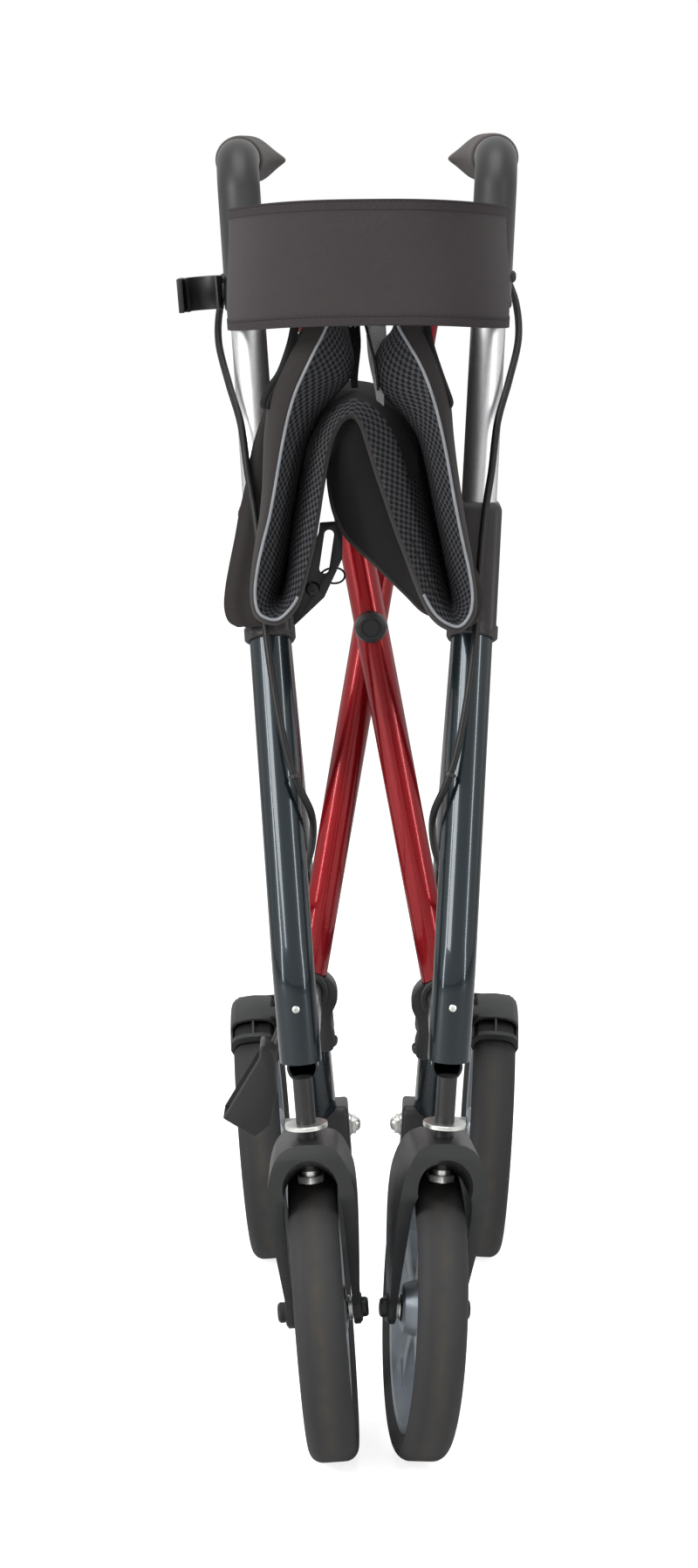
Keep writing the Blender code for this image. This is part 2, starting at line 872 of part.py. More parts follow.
def fork(side, swivel):
    """The fork's front view and its side view, each cut from a block, leave the shape they share."""
    name = side.called("caster_fork")
    tip = FRONT_AXLE_Z - 0.011
    inner = TYRE_WIDTH / 2 + 0.0030
    outer = inner + 0.0048
    crown = 0.019
    half = [
        (0.0, FORK_TOP_Z),
        (0.010, FORK_TOP_Z - 0.0008),
        (0.020, FORK_TOP_Z - 0.0050),
        (0.0255, FORK_TOP_Z - 0.0120),
        (FORK_SHOULDER, FORK_TOP_Z - 0.0260),
        (FORK_SHOULDER - 0.0005, FRONT_AXLE_Z + 0.060),
        (outer, FRONT_AXLE_Z + 0.010),
        (outer, tip),
        (inner, tip),
        (inner, FRONT_AXLE_Z + 0.050),
        (crown - 0.0010, FORK_ARCH_Z - 0.0130),
        (0.0155, FORK_ARCH_Z - 0.0055),
        (0.0098, FORK_ARCH_Z),
        (0.0, FORK_ARCH_Z),
    ]
    mirrored = [(-x, z) for x, z in reversed(half[1:-1])]
    obj = plate(
        name,
        swivel,
        [[*half, *mirrored]],
        0.120,
        (0.0, 0.020, 0.0),
        "xz",
        PAINT,
    )
    boss = arc((TRAIL, FRONT_AXLE_Z), 0.0105, 215, 395, 7)
    view = [
        (-0.020, FORK_TOP_Z + 0.001),
        (-0.0255, FORK_TOP_Z - 0.012),
        (-0.0245, FORK_ARCH_Z - 0.006),
        (-0.010, FRONT_AXLE_Z + 0.060),
        *boss,
        (TRAIL + 0.010, FRONT_AXLE_Z + 0.050),
        (0.036, FORK_ARCH_Z - 0.006),
        (0.030, FORK_TOP_Z - 0.012),
        (0.020, FORK_TOP_Z + 0.001),
    ]
    side_view = plate(f"{name}_side_view", swivel, [view], 0.080, (0.0, 0.0, 0.0), "yz")
    boolean(obj, side_view, "INTERSECT")
    cut(
        obj,
        cylinder(
            f"{name}_stem_hole",
            swivel,
            STEM_RADIUS + FIT_GAP,
            0.080,
            (0.0, 0.0, FORK_TOP_Z),
        ),
    )
    cut(
        obj,
        cylinder(
            f"{name}_axle_hole",
            swivel,
            AXLE_RADIUS + FIT_GAP,
            0.080,
            (0.0, TRAIL, FRONT_AXLE_Z),
            "x",
            sides=16,
        ),
    )


def stem_bolt(side, swivel):
    """The stem with its bearing ring above the crown, and the nut under the arch."""
    ring_low = FORK_TOP_Z + FIT_GAP
    ring_high = HEAD_FOOT_Z - RUN_GAP
    nut_top = FORK_ARCH_Z - FIT_GAP
    nut_foot = nut_top - STEM_NUT
    profile = [
        (0.0, STEM_TOP_Z),
        (STEM_RADIUS - 0.001, STEM_TOP_Z),
        (STEM_RADIUS, STEM_TOP_Z - 0.001),
        (STEM_RADIUS, ring_high),
        (0.0135, ring_high),
        (0.0135, ring_low),
        (STEM_RADIUS, ring_low),
        (STEM_RADIUS, nut_foot - 0.0004),
        (0.0, nut_foot - 0.0004),
    ]
    name = side.called("stem_bolt")
    obj = turned(name, swivel, profile, (0.0, 0.0, 0.0), "z", ZINC, sides=12)
    nut = cylinder(
        f"{name}_nut",
        swivel,
        0.0090,
        STEM_NUT,
        (0.0, 0.0, (nut_top + nut_foot) / 2),
        sides=6,
    )
    join(obj, nut)


def wheel(side, axle, place):
    """A tyre on a spoked hub, both turned about the axle."""
    facet = empty(side.called(f"{place}_facet"), axle, turn=(math.pi / WHEEL_SIDES, 0, 0))
    turned(
        side.called(f"{place}_tyre"),
        facet,
        tyre_profile(),
        (0.0, 0.0, 0.0),
        "x",
        TYRE,
        sides=WHEEL_SIDES,
        ring=True,
    )
    hub(side, facet, place)


def hub(side, axle, place):
    name = side.called(f"{place}_hub")
    outer = WHEEL_RADIUS - TYRE_DEPTH - FIT_GAP
    half = TYRE_WIDTH / 2 - RIM_INSET
    rim = [
        (outer, half),
        (outer, -half),
        (outer - 0.007, -half),
        (outer - 0.007, half),
    ]
    obj = turned(
        name, axle, rim, (0.0, 0.0, 0.0), "x", HUB_GREY, sides=WHEEL_SIDES, ring=True
    )
    boss_half = TYRE_WIDTH / 2 - 0.0005
    join(
        obj,
        cylinder(f"{name}_boss", axle, 0.016, 2 * boss_half, (0, 0, 0), "x", sides=12),
    )
    reach = outer - 0.005
    for spoke in range(SPOKES):
        angle = 2 * math.pi * spoke / SPOKES
        middle = 0.012 + (reach - 0.012) / 2
        at = (0.0, -middle * math.sin(angle), middle * math.cos(angle))
        bar = box(
            f"{name}_spoke_{spoke}",
            axle,
            (0.010, 0.014, reach - 0.012),
            at,
            turn=(angle, 0.0, 0.0),
        )
        join(obj, bar)
    cut(
        obj, cylinder(f"{name}_bore", axle, HUB_BORE, 0.060, (0, 0, 0), "x", sides=12)
    )


def bolt_profile(radius, start, end, head, head_length, nut, nut_length):
    """A bolt from start to end along its axis, with a domed head at the high end and a nut at the low."""
    return [
        (0.0, end + head_length),
        (head * 0.6, end + head_length),
        (head, end + head_length * 0.4),
        (head, end),
        (radius, end),
        (radius, start),
        (nut, start),
        (nut, start - nut_length),
        (0.0, start - nut_length),
    ]


def front_axle(side, axle):
    """The bolt through fork and hub, with spacers between them. Its head is on the inner side."""
    name = side.called("front_axle")
    inner = TYRE_WIDTH / 2 + 0.0030
    seat = inner + 0.0048 + FIT_GAP
    profile = bolt_profile(AXLE_RADIUS, -seat, seat, 0.0065, 0.0040, 0.0065, 0.0050)
    along = (-side.sign, 0.0, 0.0)
    obj = turned(name, axle, profile, (0, 0, 0), along, BLACK_STEEL, sides=12)
    low = TYRE_WIDTH / 2 - 0.0005 + RUN_GAP
    high = inner - FIT_GAP
    for end in (-1.0, 1.0):
        middle = end * (low + high) / 2
        label = "outer" if end > 0 else "inner"
        washer = cylinder(
            f"{name}_{label}_washer",
            axle,
            0.0085,
            high - low,
            (middle, 0.0, 0.0),
            "x",
            sides=12,
        )
        join(obj, washer)


def rear_wheel(side):
    axle = empty(side.called("rear_spin"), side.frame, side.out(REAR_TRACK, *REAR_AXLE[1:]))
    wheel(side, axle, "rear")
    rear_axle(side, axle)
    axle_lug(side)


def rear_axle(side, axle):
    """The bolt through lug, leg and hub, with a spacer beside the leg and a cap nut inside."""
    name = side.called("rear_axle")
    start = LUG_INNER_X - FIT_GAP - REAR_TRACK
    boss = TYRE_WIDTH / 2 - 0.0005
    profile = bolt_profile(
        AXLE_RADIUS, start, boss + RUN_GAP, 0.0085, 0.0040, 0.0070, 0.0075
    )
    along = (side.sign, 0.0, 0.0)
    obj = turned(name, axle, profile, (0, 0, 0), along, ZINC, sides=12)
    leg_side = leg_point(REAR_AXLE_Z).x + LEG_RADIUS + 0.0008 - REAR_TRACK
    hub_side = -boss - RUN_GAP
    spacer = cylinder(
        f"{name}_spacer",
        axle,
        0.0080,
        hub_side - leg_side,
        (side.sign * (leg_side + hub_side) / 2, 0.0, 0.0),
        "x",
        sides=16,
    )
    join(obj, spacer)


def axle_lug(side):
    """A block that wraps the inner half of the leg's foot and takes the axle."""
    name = side.called("axle_lug")
    low = REAR_AXLE_Z - 0.0265
    high = REAR_AXLE_Z + 0.0185
    at = side.out(
        (LUG_INNER_X + LUG_OUTER_X) / 2, REAR_AXLE_Y, (low + high) / 2
    )
    obj = box(
        name,
        side.frame,
        (LUG_OUTER_X - LUG_INNER_X, 0.040, high - low),
        at,
        BLACK,
        edge=0.003,
    )
    cut(obj, leg_bar(side, f"{name}_groove", LEG_RADIUS + FIT_GAP))
    foot = side.out(*LEG_FOOT)
    below = side.out(*(LEG_FOOT + LEG_AXIS * 0.0006))
    cut(
        obj,
        tube(f"{name}_foot", side.frame, [foot - (below - foot), below], LEG_RADIUS + FIT_GAP),
    )
    cut(
        obj,
        cylinder(
            f"{name}_axle_hole",
            side.frame,
            AXLE_RADIUS + FIT_GAP,
            0.080,
            REAR_AXLE,
            "x",
            sides=16,
        ),
    )


def fender(side):
    """A crowned cap over the wheel's front, turned about the axle over part of a circle."""
    name = side.called("fender")
    steps = 6
    crown = [(-1.0, -0.0085), (-0.88, -0.0035), (-0.5, -0.0008), (0.0, 0.0)]
    crown += [(-x, drop) for x, drop in reversed(crown[:-1])]
    outer = FENDER_INNER + FENDER_WALL
    section = [(x * FENDER_HALF_WIDTH, outer + drop) for x, drop in crown]
    thin = FENDER_HALF_WIDTH - 0.0018
    section += [(-x * thin, FENDER_INNER + drop) for x, drop in crown]
    rings = []
    for step in range(steps + 1):
        angle = FENDER_START + (FENDER_END - FENDER_START) * step / steps
        ring = []
        for x, reach in section:
            point = on_wheel(reach, angle, REAR_TRACK + x)
            ring.append(side.out(*point))
        rings.append(ring)
    obj = ring_loft(name, side.frame, rings, BLACK)
    boss_at = on_wheel(FENDER_INNER + 0.001, math.radians(72.0))
    plate_side = BRAKE_PLATE_X + BRAKE_PLATE / 2 + FIT_GAP
    fender_side = REAR_TRACK - FENDER_HALF_WIDTH + 0.006
    boss = box(
        f"{name}_boss",
        side.frame,
        (fender_side - plate_side, 0.016, 0.008),
        side.out((plate_side + fender_side) / 2, boss_at.y, boss_at.z),
        turn=(math.radians(90.0 - 72.0), 0.0, 0.0),
    )
    join(obj, boss)


def brake_bracket(side):
    """The plate clamped to the rear leg. It holds the fender, the cable's end and the arm's pin."""
    name = side.called("brake_bracket")
    pivot = ARM_PIVOT
    boss = on_wheel(FENDER_INNER + 0.001, math.radians(72.0))
    outline = [
        (0.136, 0.205),
        (0.150, 0.226),
        (CABLE_STOP_Y + 0.0002, 0.236),
        (CABLE_STOP_Y + 0.0002, 0.252),
        (0.204, 0.252),
        (0.215, 0.232),
        *arc((pivot.y, pivot.z), 0.0090, 70, -110, 8),
        (boss.y + 0.030, boss.z - 0.008),
        (boss.y, boss.z - 0.012),
        (0.165, 0.172),
        (0.146, 0.188),
    ]
    obj = plate(
        name,
        side.frame,
        [outline],
        BRAKE_PLATE,
        (side.sign * BRAKE_PLATE_X, 0.0, 0.0),
        "yz",
        BLACK,
    )
    middle = leg_point(0.205)
    collar_outer = BRAKE_PLATE_X + BRAKE_PLATE / 2 - middle.x - 0.0005
    collar = tube(
        f"{name}_collar",
        side.frame,
        [
            side.out(*(middle - LEG_AXIS * 0.011)),
            side.out(*(middle + LEG_AXIS * 0.011)),
        ],
        collar_outer,
    )
    join(obj, collar)
    cut(obj, leg_bar(side, f"{name}_bore", LEG_RADIUS + FIT_GAP))
    stop = box(
        f"{name}_cable_stop",
        side.frame,
        (0.009, 0.014, 0.010),
        side.out(BRAKE_PLATE_X, CABLE_STOP_Y + 0.007, 0.2435),
    )
    join(obj, stop)
    pin_end = ARM_X + ARM_THICKNESS / 2 + 0.0015
    pin_start = BRAKE_PLATE_X
    pin = cylinder(
        f"{name}_pin",
        side.frame,
        0.0035,
        pin_end - pin_start,
        side.out((pin_end + pin_start) / 2, pivot.y, pivot.z),
        "x",
        sides=10,
    )
    join(obj, pin)


def brake_arm(side):
    """A bent lever on the bracket's pin. Its shoe lies across the tyre, behind the fender."""
    name = side.called("brake_arm")
    pin = empty(side.called("arm_pin"), side.frame, side.out(0.0, *ARM_PIVOT[1:]))
    shoe_reach = WHEEL_RADIUS + SHOE_GAP
    shoe_angle = (SHOE_START + SHOE_END) / 2
    shoe_thickness = 0.009
    shoe_middle = on_wheel(shoe_reach + shoe_thickness / 2, shoe_angle) - ARM_PIVOT
    horn = on_wheel(0.026, ARM_PIVOT_ANGLE + 0.2) - REAR_AXLE
    outline = [
        *arc((0.0, 0.0), 0.0080, -60, 30, 4),
        (horn.y + 0.004, horn.z),
        (horn.y - 0.004, horn.z + 0.002),
        (-0.008, 0.006),
        (shoe_middle.y + 0.004, shoe_middle.z + 0.005),
        (shoe_middle.y - 0.007, shoe_middle.z + 0.004),
        (shoe_middle.y - 0.006, shoe_middle.z - 0.004),
        (shoe_middle.y + 0.007, shoe_middle.z - 0.0025),
        (-0.007, -0.006),
    ]
    obj = plate(
        name,
        pin,
        [outline],
        ARM_THICKNESS,
        (side.sign * ARM_X, 0.0, 0.0),
        "yz",
        BLACK_STEEL,
    )
    start = ARM_X
    end = REAR_TRACK + TYRE_WIDTH / 2 - 0.003
    tilt = shoe_angle - math.pi / 2
    shoe = box(
        f"{name}_shoe",
        pin,
        (end - start, 0.016, shoe_thickness),
        side.out((start + end) / 2, shoe_middle.y, shoe_middle.z),
        turn=(-tilt, 0.0, 0.0),
    )
    join(obj, shoe)
    hole = cylinder(
        f"{name}_hole",
        pin,
        0.0035 + RUN_GAP,
        0.030,
        (side.sign * ARM_X, 0.0, 0.0),
        "x",
        sides=12,
    )
    cut(obj, hole)


def handle_path(foot_z, end_y):
    corner = Vector((0.0, raked_y(HANDLE_Z), HANDLE_Z))
    end = Vector((0.0, end_y, HANDLE_Z))
    return rounded_path([raked_point(foot_z), corner, end], HANDLE_BEND, 4)


def handle(side):
    """The sliding tube with its bend, and the moulded casing over the bend."""
    slide = empty(side.called("handle_slide"), side.frame)
    name = side.called("handle_tube")
    obj = tube(name, slide, handle_path(HANDLE_FOOT_Z, HANDLE_END_Y), HANDLE_RADIUS, SILVER)
    inside = handle_path(HANDLE_FOOT_Z - 0.01, HANDLE_END_Y + 0.01)
    bore = tube(f"{name}_bore", slide, inside, HANDLE_RADIUS - HANDLE_WALL, resolution=4)
    cut(obj, bore)

    name = side.called("handle_casing")
    casing = tube(
        name, slide, handle_path(CASING_FOOT_Z, CASING_END_Y), CASING_RADIUS, BLACK
    )
    lug = box(
        f"{name}_lug",
        slide,
        (0.010, 0.0185, 0.032),
        LEVER_PIVOT + Vector((0.0, 0.0, 0.008)),
    )
    join(casing, lug)
    inside = handle_path(CASING_FOOT_Z - 0.01, CASING_END_Y + 0.01)
    cut(casing, tube(f"{name}_bore", slide, inside, HANDLE_RADIUS + FIT_GAP))
    cut(
        casing,
        cylinder(
            f"{name}_hole",
            slide,
            LEVER_PIN + RUN_GAP,
            0.040,
            LEVER_PIVOT,
            "x",
            sides=16,
        ),
    )
    grip(side, slide)
    brake_lever(side, slide)


def grip(side, slide):
    """The hand grip, wider towards its end, where it supports the palm."""
    name = side.called("grip")
    sections = [
        (CASING_END_Y + 0.0004, 0.0, 0.0160, 0.0160),
        (CASING_END_Y + 0.040, 0.0, 0.0172, 0.0165),
        (GRIP_END_Y - 0.072, -0.001, 0.0185, 0.0165),
        (GRIP_END_Y - 0.037, -0.004, 0.0220, 0.0160),
        (GRIP_END_Y - 0.014, -0.004, 0.0215, 0.0155),
        (GRIP_END_Y - 0.004, -0.004, 0.0170, 0.0120),
        (GRIP_END_Y, -0.0035, 0.0110, 0.0070),
    ]
    count = 14
    rings = []
    for y, x, wide, tall in sections:
        ring = []
        for i in range(count):
            angle = 2 * math.pi * i / count
            ring.append(
                side.out(x + wide * math.cos(angle), y, HANDLE_Z + tall * math.sin(angle))
            )
        rings.append(ring)
    obj = ring_loft(name, slide, rings, BLACK)
    start = CASING_END_Y - 0.02
    end = HANDLE_END_Y + FIT_GAP
    bore = cylinder(
        f"{name}_bore",
        slide,
        HANDLE_RADIUS + 2 * FIT_GAP,
        end - start,
        (0.0, (start + end) / 2, HANDLE_Z),
        "y",
        sides=16,
    )
    cut(obj, bore)


def brake_lever(side, slide):
    """A fork round the casing's lug, carrying a bar under the grip."""
    name = side.called("brake_lever")
    pivot = empty(side.called("lever_pivot"), slide, LEVER_PIVOT)
    bar_z = HANDLE_Z - 0.0165 - LEVER_DROP - LEVER_RADIUS - LEVER_PIVOT.z
    path = smooth_path(
        [
            (0.0, 0.016, -0.008),
            (0.0, 0.036, bar_z + 0.006),
            (0.0, 0.060, bar_z),
            (0.0, LEVER_END_Y, bar_z - 0.002),
            (side.sign * -0.004, LEVER_END_Y + 0.028, bar_z),
        ],
        2,
    )
    obj = tube(name, pivot, path, LEVER_RADIUS, BLACK, resolution=3)
    cheek_x = 0.0054
    cheek = 0.003
    join(
        obj,
        box(
            f"{name}_bridge",
            pivot,
            (2 * (cheek_x + cheek), 0.010, 0.014),
            (0.0, 0.020, -0.007),
        ),
    )
    for end in (-1.0, 1.0):
        label = "outer" if end > 0 else "inner"
        join(
            obj,
            box(
                f"{name}_{label}_cheek",
                pivot,
                (cheek, 0.032, 0.013),
                (end * (cheek_x + cheek / 2), 0.008, -0.003),
            ),
        )
    join(
        obj,
        cylinder(
            f"{name}_pin",
            pivot,
            LEVER_PIN,
            2 * (cheek_x + cheek / 2),
            (0, 0, 0),
            "x",
            sides=16,
        ),
    )


# The brake cable's route in the upright side frame: x outboard, y, z
CABLE_ROUTE = [
    (0.0040, -0.0400, 0.7780),
    (0.0110, -0.0500, 0.7570),
    (0.0185, -0.0700, 0.7380),
    (0.0205, -0.0950, 0.7160),
    (0.0150, -0.1230, 0.6900),
    (0.0085, -0.1480, 0.6650),
    (0.0060, -0.1660, 0.6350),
    (0.0030, -0.1810, 0.6080),
    (0.0016, -0.1935, 0.5750),
    (0.0016, -0.2040, 0.5450),
    (0.0000, -0.2150, 0.5150),
    (-0.0030, -0.2250, 0.4850),
    (-0.0070, -0.2320, 0.4600),
    (-0.0120, -0.2350, 0.4420),
    (-0.0185, -0.2290, 0.4220),
    (-0.0165, -0.2060, 0.3990),
    (-0.0080, -0.1700, 0.3720),
    (0.0010, -0.1200, 0.3470),
    (0.0030, -0.0600, 0.3290),
    (0.0050, 0.0000, 0.3160),
    (0.0130, 0.0350, 0.3050),
    (0.0190, 0.0700, 0.2920),
    (0.0208, 0.1050, 0.2770),
    (0.0212, 0.1400, 0.2630),
    (0.0210, 0.1680, 0.2520),
    (BRAKE_PLATE_X, CABLE_STOP_Y - 0.0010, 0.2435),
]


def brake_cable(side):
    """The cable from the lever, down the front of the tubes and back along the leg to the bracket."""
    path = [side.out(*point) for point in smooth_path(CABLE_ROUTE, 2)]
    tube(
        side.called("brake_cable"),
        side.frame,
        path,
        CABLE_RADIUS,
        BLACK,
        resolution=1,
        keep_curve=True,
    )


def cross_tube(core, label, side_of_foot):
    """One crossed tube with its seat rail on top and its hinge clamp at the foot."""
    sign = 1.0 if label == "front" else -1.0
    turn = empty(f"cross_{label}", core, (0.0, 0.0, 0.0), (0.0, -sign * FOLD_ANGLE, 0.0))
    y = -sign * CROSS_SPACING / 2
    name = f"cross_frame_{label}"
    foot = -LOWER_ARM + CLAMP_RADIUS * 0.6
    obj = tube(name, turn, [(0.0, y, foot), (0.0, y, UPPER_ARM)], CROSS_RADIUS, RED)
    back = y + CROSS_RADIUS
    front = SEAT_RAIL_FRONT_Y - PIVOT_Y
    rail = cylinder(
        f"{name}_rail",
        turn,
        SEAT_RAIL_RADIUS,
        back - front,
        (0.0, (front + back) / 2, UPPER_ARM),
        "y",
        sides=16,
    )
    join(obj, rail)
    bore = tube(
        f"{name}_bore",
        turn,
        [(0.0, y, foot - 0.01), (0.0, y, UPPER_ARM - SEAT_RAIL_RADIUS - 0.004)],
        CROSS_RADIUS - CROSS_WALL,
        resolution=4,
    )
    cut(obj, bore)
    hole = cylinder(
        f"{name}_pivot_hole",
        turn,
        AXLE_RADIUS + RUN_GAP,
        0.060,
        (0.0, y, 0.0),
        "y",
        sides=16,
    )
    cut(obj, hole)
    seat = cylinder(
        f"{name}_saddle",
        turn,
        CLAMP_RADIUS + FIT_GAP,
        0.060,
        (0.0, y, -LOWER_ARM),
        "y",
        sides=24,
    )
    cut(obj, seat)
    hinge_clamp(turn, side_of_foot, y)
    return turn


def hinge_clamp(turn, side, y):
    """The clamp that turns on a side frame's lower rail, with a lobe hanging on its inner side."""
    name = side.called("cross_hinge")
    at = (0.0, y, -LOWER_ARM)
    obj = cylinder(name, turn, CLAMP_RADIUS, CLAMP_LENGTH, at, "y", BLACK, sides=24)
    lobe = box(
        f"{name}_lobe",
        turn,
        (0.0125, 0.020, 0.036),
        (-side.sign * 0.0175, y, -LOWER_ARM - 0.021),
        edge=0.003,
    )
    join(obj, lobe)
    bore = cylinder(
        f"{name}_bore", turn, RAIL_RADIUS + RUN_GAP, 0.060, at, "y", sides=24
    )
    cut(obj, bore)


def pivot_bolt(core):
    """The bolt through both crossed tubes, with a domed cap at each end and a washer between."""
    front = CROSS_SPACING / 2 + CROSS_RADIUS + 0.0003
    gap = CROSS_SPACING / 2 - CROSS_RADIUS - RUN_GAP
    cap = 0.0110
    half = [
        (0.0, front + 0.0065),
        (cap * 0.6, front + 0.0055),
        (cap * 0.93, front + 0.0030),
        (cap, front),
        (AXLE_RADIUS, front),
        (AXLE_RADIUS, gap),
        (0.0075, gap),
    ]
    profile = [*half, *[(radius, -height) for radius, height in reversed(half)]]
    turned("pivot_bolt", core, profile, (0, 0, 0), "y", BLACK, sides=14)


def tucked(y):
    """How far the folded seat has drawn in behind its wide front edge, from 0 to 1."""
    return smoothstep(y, SEAT_FRONT_Y + 0.010, SEAT_TUCK_Y)


def seat_panel(side, turn):
    """One outer wall of the seat. It wraps the rail, hangs when folded and lies level when open."""
    tilt = FOLD_ANGLE + PANEL_TILT
    hinge = empty(
        side.called("panel_hinge"),
        turn,
        (0.0, 0.0, UPPER_ARM),
        (0.0, -side.sign * tilt, 0.0),
    )
    wrap = SEAT_RAIL_RADIUS + FIT_GAP + PANEL_THICKNESS / 2
    loop = arc((0.0, 0.0), wrap, -45, 180, 8)
    rows = []
    for y in SEAT_ROWS:
        flare = PANEL_FLARE * (1.0 - tucked(y))
        row = [side.out(x, y - PIVOT_Y, z) for x, z in loop]
        steps = 6
        for step in range(1, steps + 1):
            drop = PANEL_LENGTH * step / steps
            x = -wrap + flare * smoothstep(drop, 0.020, 0.100)
            row.append(side.out(x, y - PIVOT_Y, -drop))
        rows.append(row)
    obj = grid_sheet(
        side.called("seat_panel"), hinge, rows, PANEL_THICKNESS, CLOTH
    )
    notch = box(
        side.called("seat_panel_notch"),
        hinge,
        (0.020, GUIDE_THICKNESS + 0.010, 0.040),
        side.out(-wrap, GUIDE_Y - PIVOT_Y, -PANEL_LENGTH + 0.002),
    )
    cut(obj, notch)


# The folded seat's middle, as (distance from the middle, height): front edge, then behind the guides
SLING_FRONT = [
    (0.0530, 0.6400),
    (0.0565, 0.6110),
    (0.0600, 0.5960),
    (0.0670, 0.5720),
    (0.0620, 0.5520),
    (0.0550, 0.5490),
    (0.0500, 0.5560),
    (0.0465, 0.5750),
    (0.0430, 0.6000),
    (0.0360, 0.6320),
    (0.0250, 0.6600),
    (0.0140, 0.6720),
    (0.0, 0.6760),
]
SLING_BACK = [
    (0.0405, 0.6400),
    (0.0423, 0.6250),
    (0.0430, 0.6150),
    (0.0427, 0.6080),
    (0.0400, 0.6055),
    (0.0370, 0.6052),
    (0.0340, 0.6060),
    (0.0315, 0.6110),
    (0.0290, 0.6220),
    (0.0255, 0.6370),
    (0.0195, 0.6550),
    (0.0100, 0.6680),
    (0.0, 0.6720),
]


def seat_sling(base):
    """The seat's middle, folded into two hanging lobes with a hump between them."""
    rows = []
    for y in SEAT_ROWS:
        back = tucked(y)
        half = []
        for (x1, z1), (x2, z2) in zip(SLING_FRONT, SLING_BACK):
            half.append((x1 + (x2 - x1) * back, z1 + (z2 - z1) * back))
        whole = [(-x, z) for x, z in half] + list(reversed(half[:-1]))
        row = []
        for x, z in whole:
            shift = HUMP_SHIFT * smoothstep(z, 0.600, 0.676) * (1.0 - back) * (abs(x) < 0.04)
            row.append((x + shift, y, z))
        rows.append(row)
    obj = grid_sheet("seat_sling", base, rows, SLING_THICKNESS, CLOTH)
    web = 0.0016
    loop_width = 0.013
    loop_foot = 0.6700
    loop_top = 0.7370
    outer = [
        (0.0, loop_foot),
        (loop_width, loop_foot),
        (loop_width + 0.002, loop_top - 0.006),
        (loop_width * 0.7, loop_top),
        (loop_width * 0.2, loop_top),
        (-0.002, loop_top - 0.006),
    ]
    inner = [
        (web, loop_foot + 0.0095),
        (loop_width - web, loop_foot + 0.0085),
        (loop_width + 0.002 - web, loop_top - 0.0065),
        (loop_width * 0.65, loop_top - web),
        (loop_width * 0.25, loop_top - web),
        (-0.002 + web, loop_top - 0.0065),
    ]
    strap = plate(
        "pull_strap",
        base,
        [outer, inner],
        0.018,
        (0.0, SEAT_FRONT_Y + 0.030, 0.0),
        "xz",
    )
    join(obj, strap)


def back_strap(side, base):
    """Half of the back strap, from the casing's front round to the middle."""
    casing = side.lean.matrix_world @ (raked_point(STRAP_Z) - Vector((0, 0, HINGE_Z)))
    casing = base.matrix_world.inverted() @ casing
    hinge = empty(side.called("strap_hinge"), base, casing)
    away = CASING_RADIUS + FIT_GAP + STRAP_THICKNESS / 2
    start = Vector((abs(casing.x) + away * 0.70, casing.y - away * 0.72))
    seam = 0.0004
    wide = start.x - seam
    deep = start.y - STRAP_FRONT_Y
    count = 16
    power = 2 / 3.0
    rows = []
    for level in (-0.5, 0.0, 0.5):
        rise = level * STRAP_HEIGHT
        row = []
        for step in range(count + 1):
            angle = math.pi / 2 * step / count
            x = seam + wide * math.cos(angle) ** power
            y = start.y - deep * math.sin(angle) ** power
            hold = 1.0 - 0.5 * smoothstep(step / count, 0.0, 1.0)
            x += rise * math.sin(LEAN) * hold * (x / start.x)
            y += rise * math.tan(RAKE) * hold
            lift = 0.0085 * smoothstep(step / count, 0.0, 1.0)
            point = Vector((side.sign * x, y, STRAP_Z + rise + lift))
            row.append(point - casing)
        rows.append(row)
    grid_sheet(side.called("back_strap"), hinge, rows, STRAP_THICKNESS, CLOTH)


def cane_clip(side):
    """An open ring on the casing for a cane's shaft, with a flat plate on its outer side."""
    slide_y = raked_y(CLIP_Z)
    name = "cane_clip"
    opening = 50
    outer = arc((CLIP_X, 0.0), CLIP_RADIUS, -90 + opening, 270 - opening, 14)
    inner = arc((CLIP_X, 0.0), CLIP_RADIUS - CLIP_WALL, 270 - opening, -90 + opening, 14)
    obj = plate(
        name,
        side.frame,
        [side.flip([*outer, *inner])],
        CLIP_HEIGHT,
        (0.0, slide_y, CLIP_Z),
        "xy",
        BLACK,
    )
    face = box(
        f"{name}_face",
        side.frame,
        (CLIP_PLATE + 0.001, 0.030, CLIP_HEIGHT),
        side.out(CLIP_X + CLIP_RADIUS + CLIP_PLATE / 2 - 0.0005, slide_y, CLIP_Z),
    )
    join(obj, face)
    stub = box(
        f"{name}_stub",
        side.frame,
        (0.0120, 0.0150, CLIP_HEIGHT * 0.8),
        side.out(CASING_RADIUS - 0.0005, slide_y + 0.0045, CLIP_Z),
    )
    join(obj, stub)
    bore = cylinder(
        f"{name}_bore",
        side.frame,
        CASING_RADIUS + FIT_GAP,
        0.060,
        raked_point(CLIP_Z),
        RAKE_AXIS,
        sides=24,
    )
    cut(obj, bore)


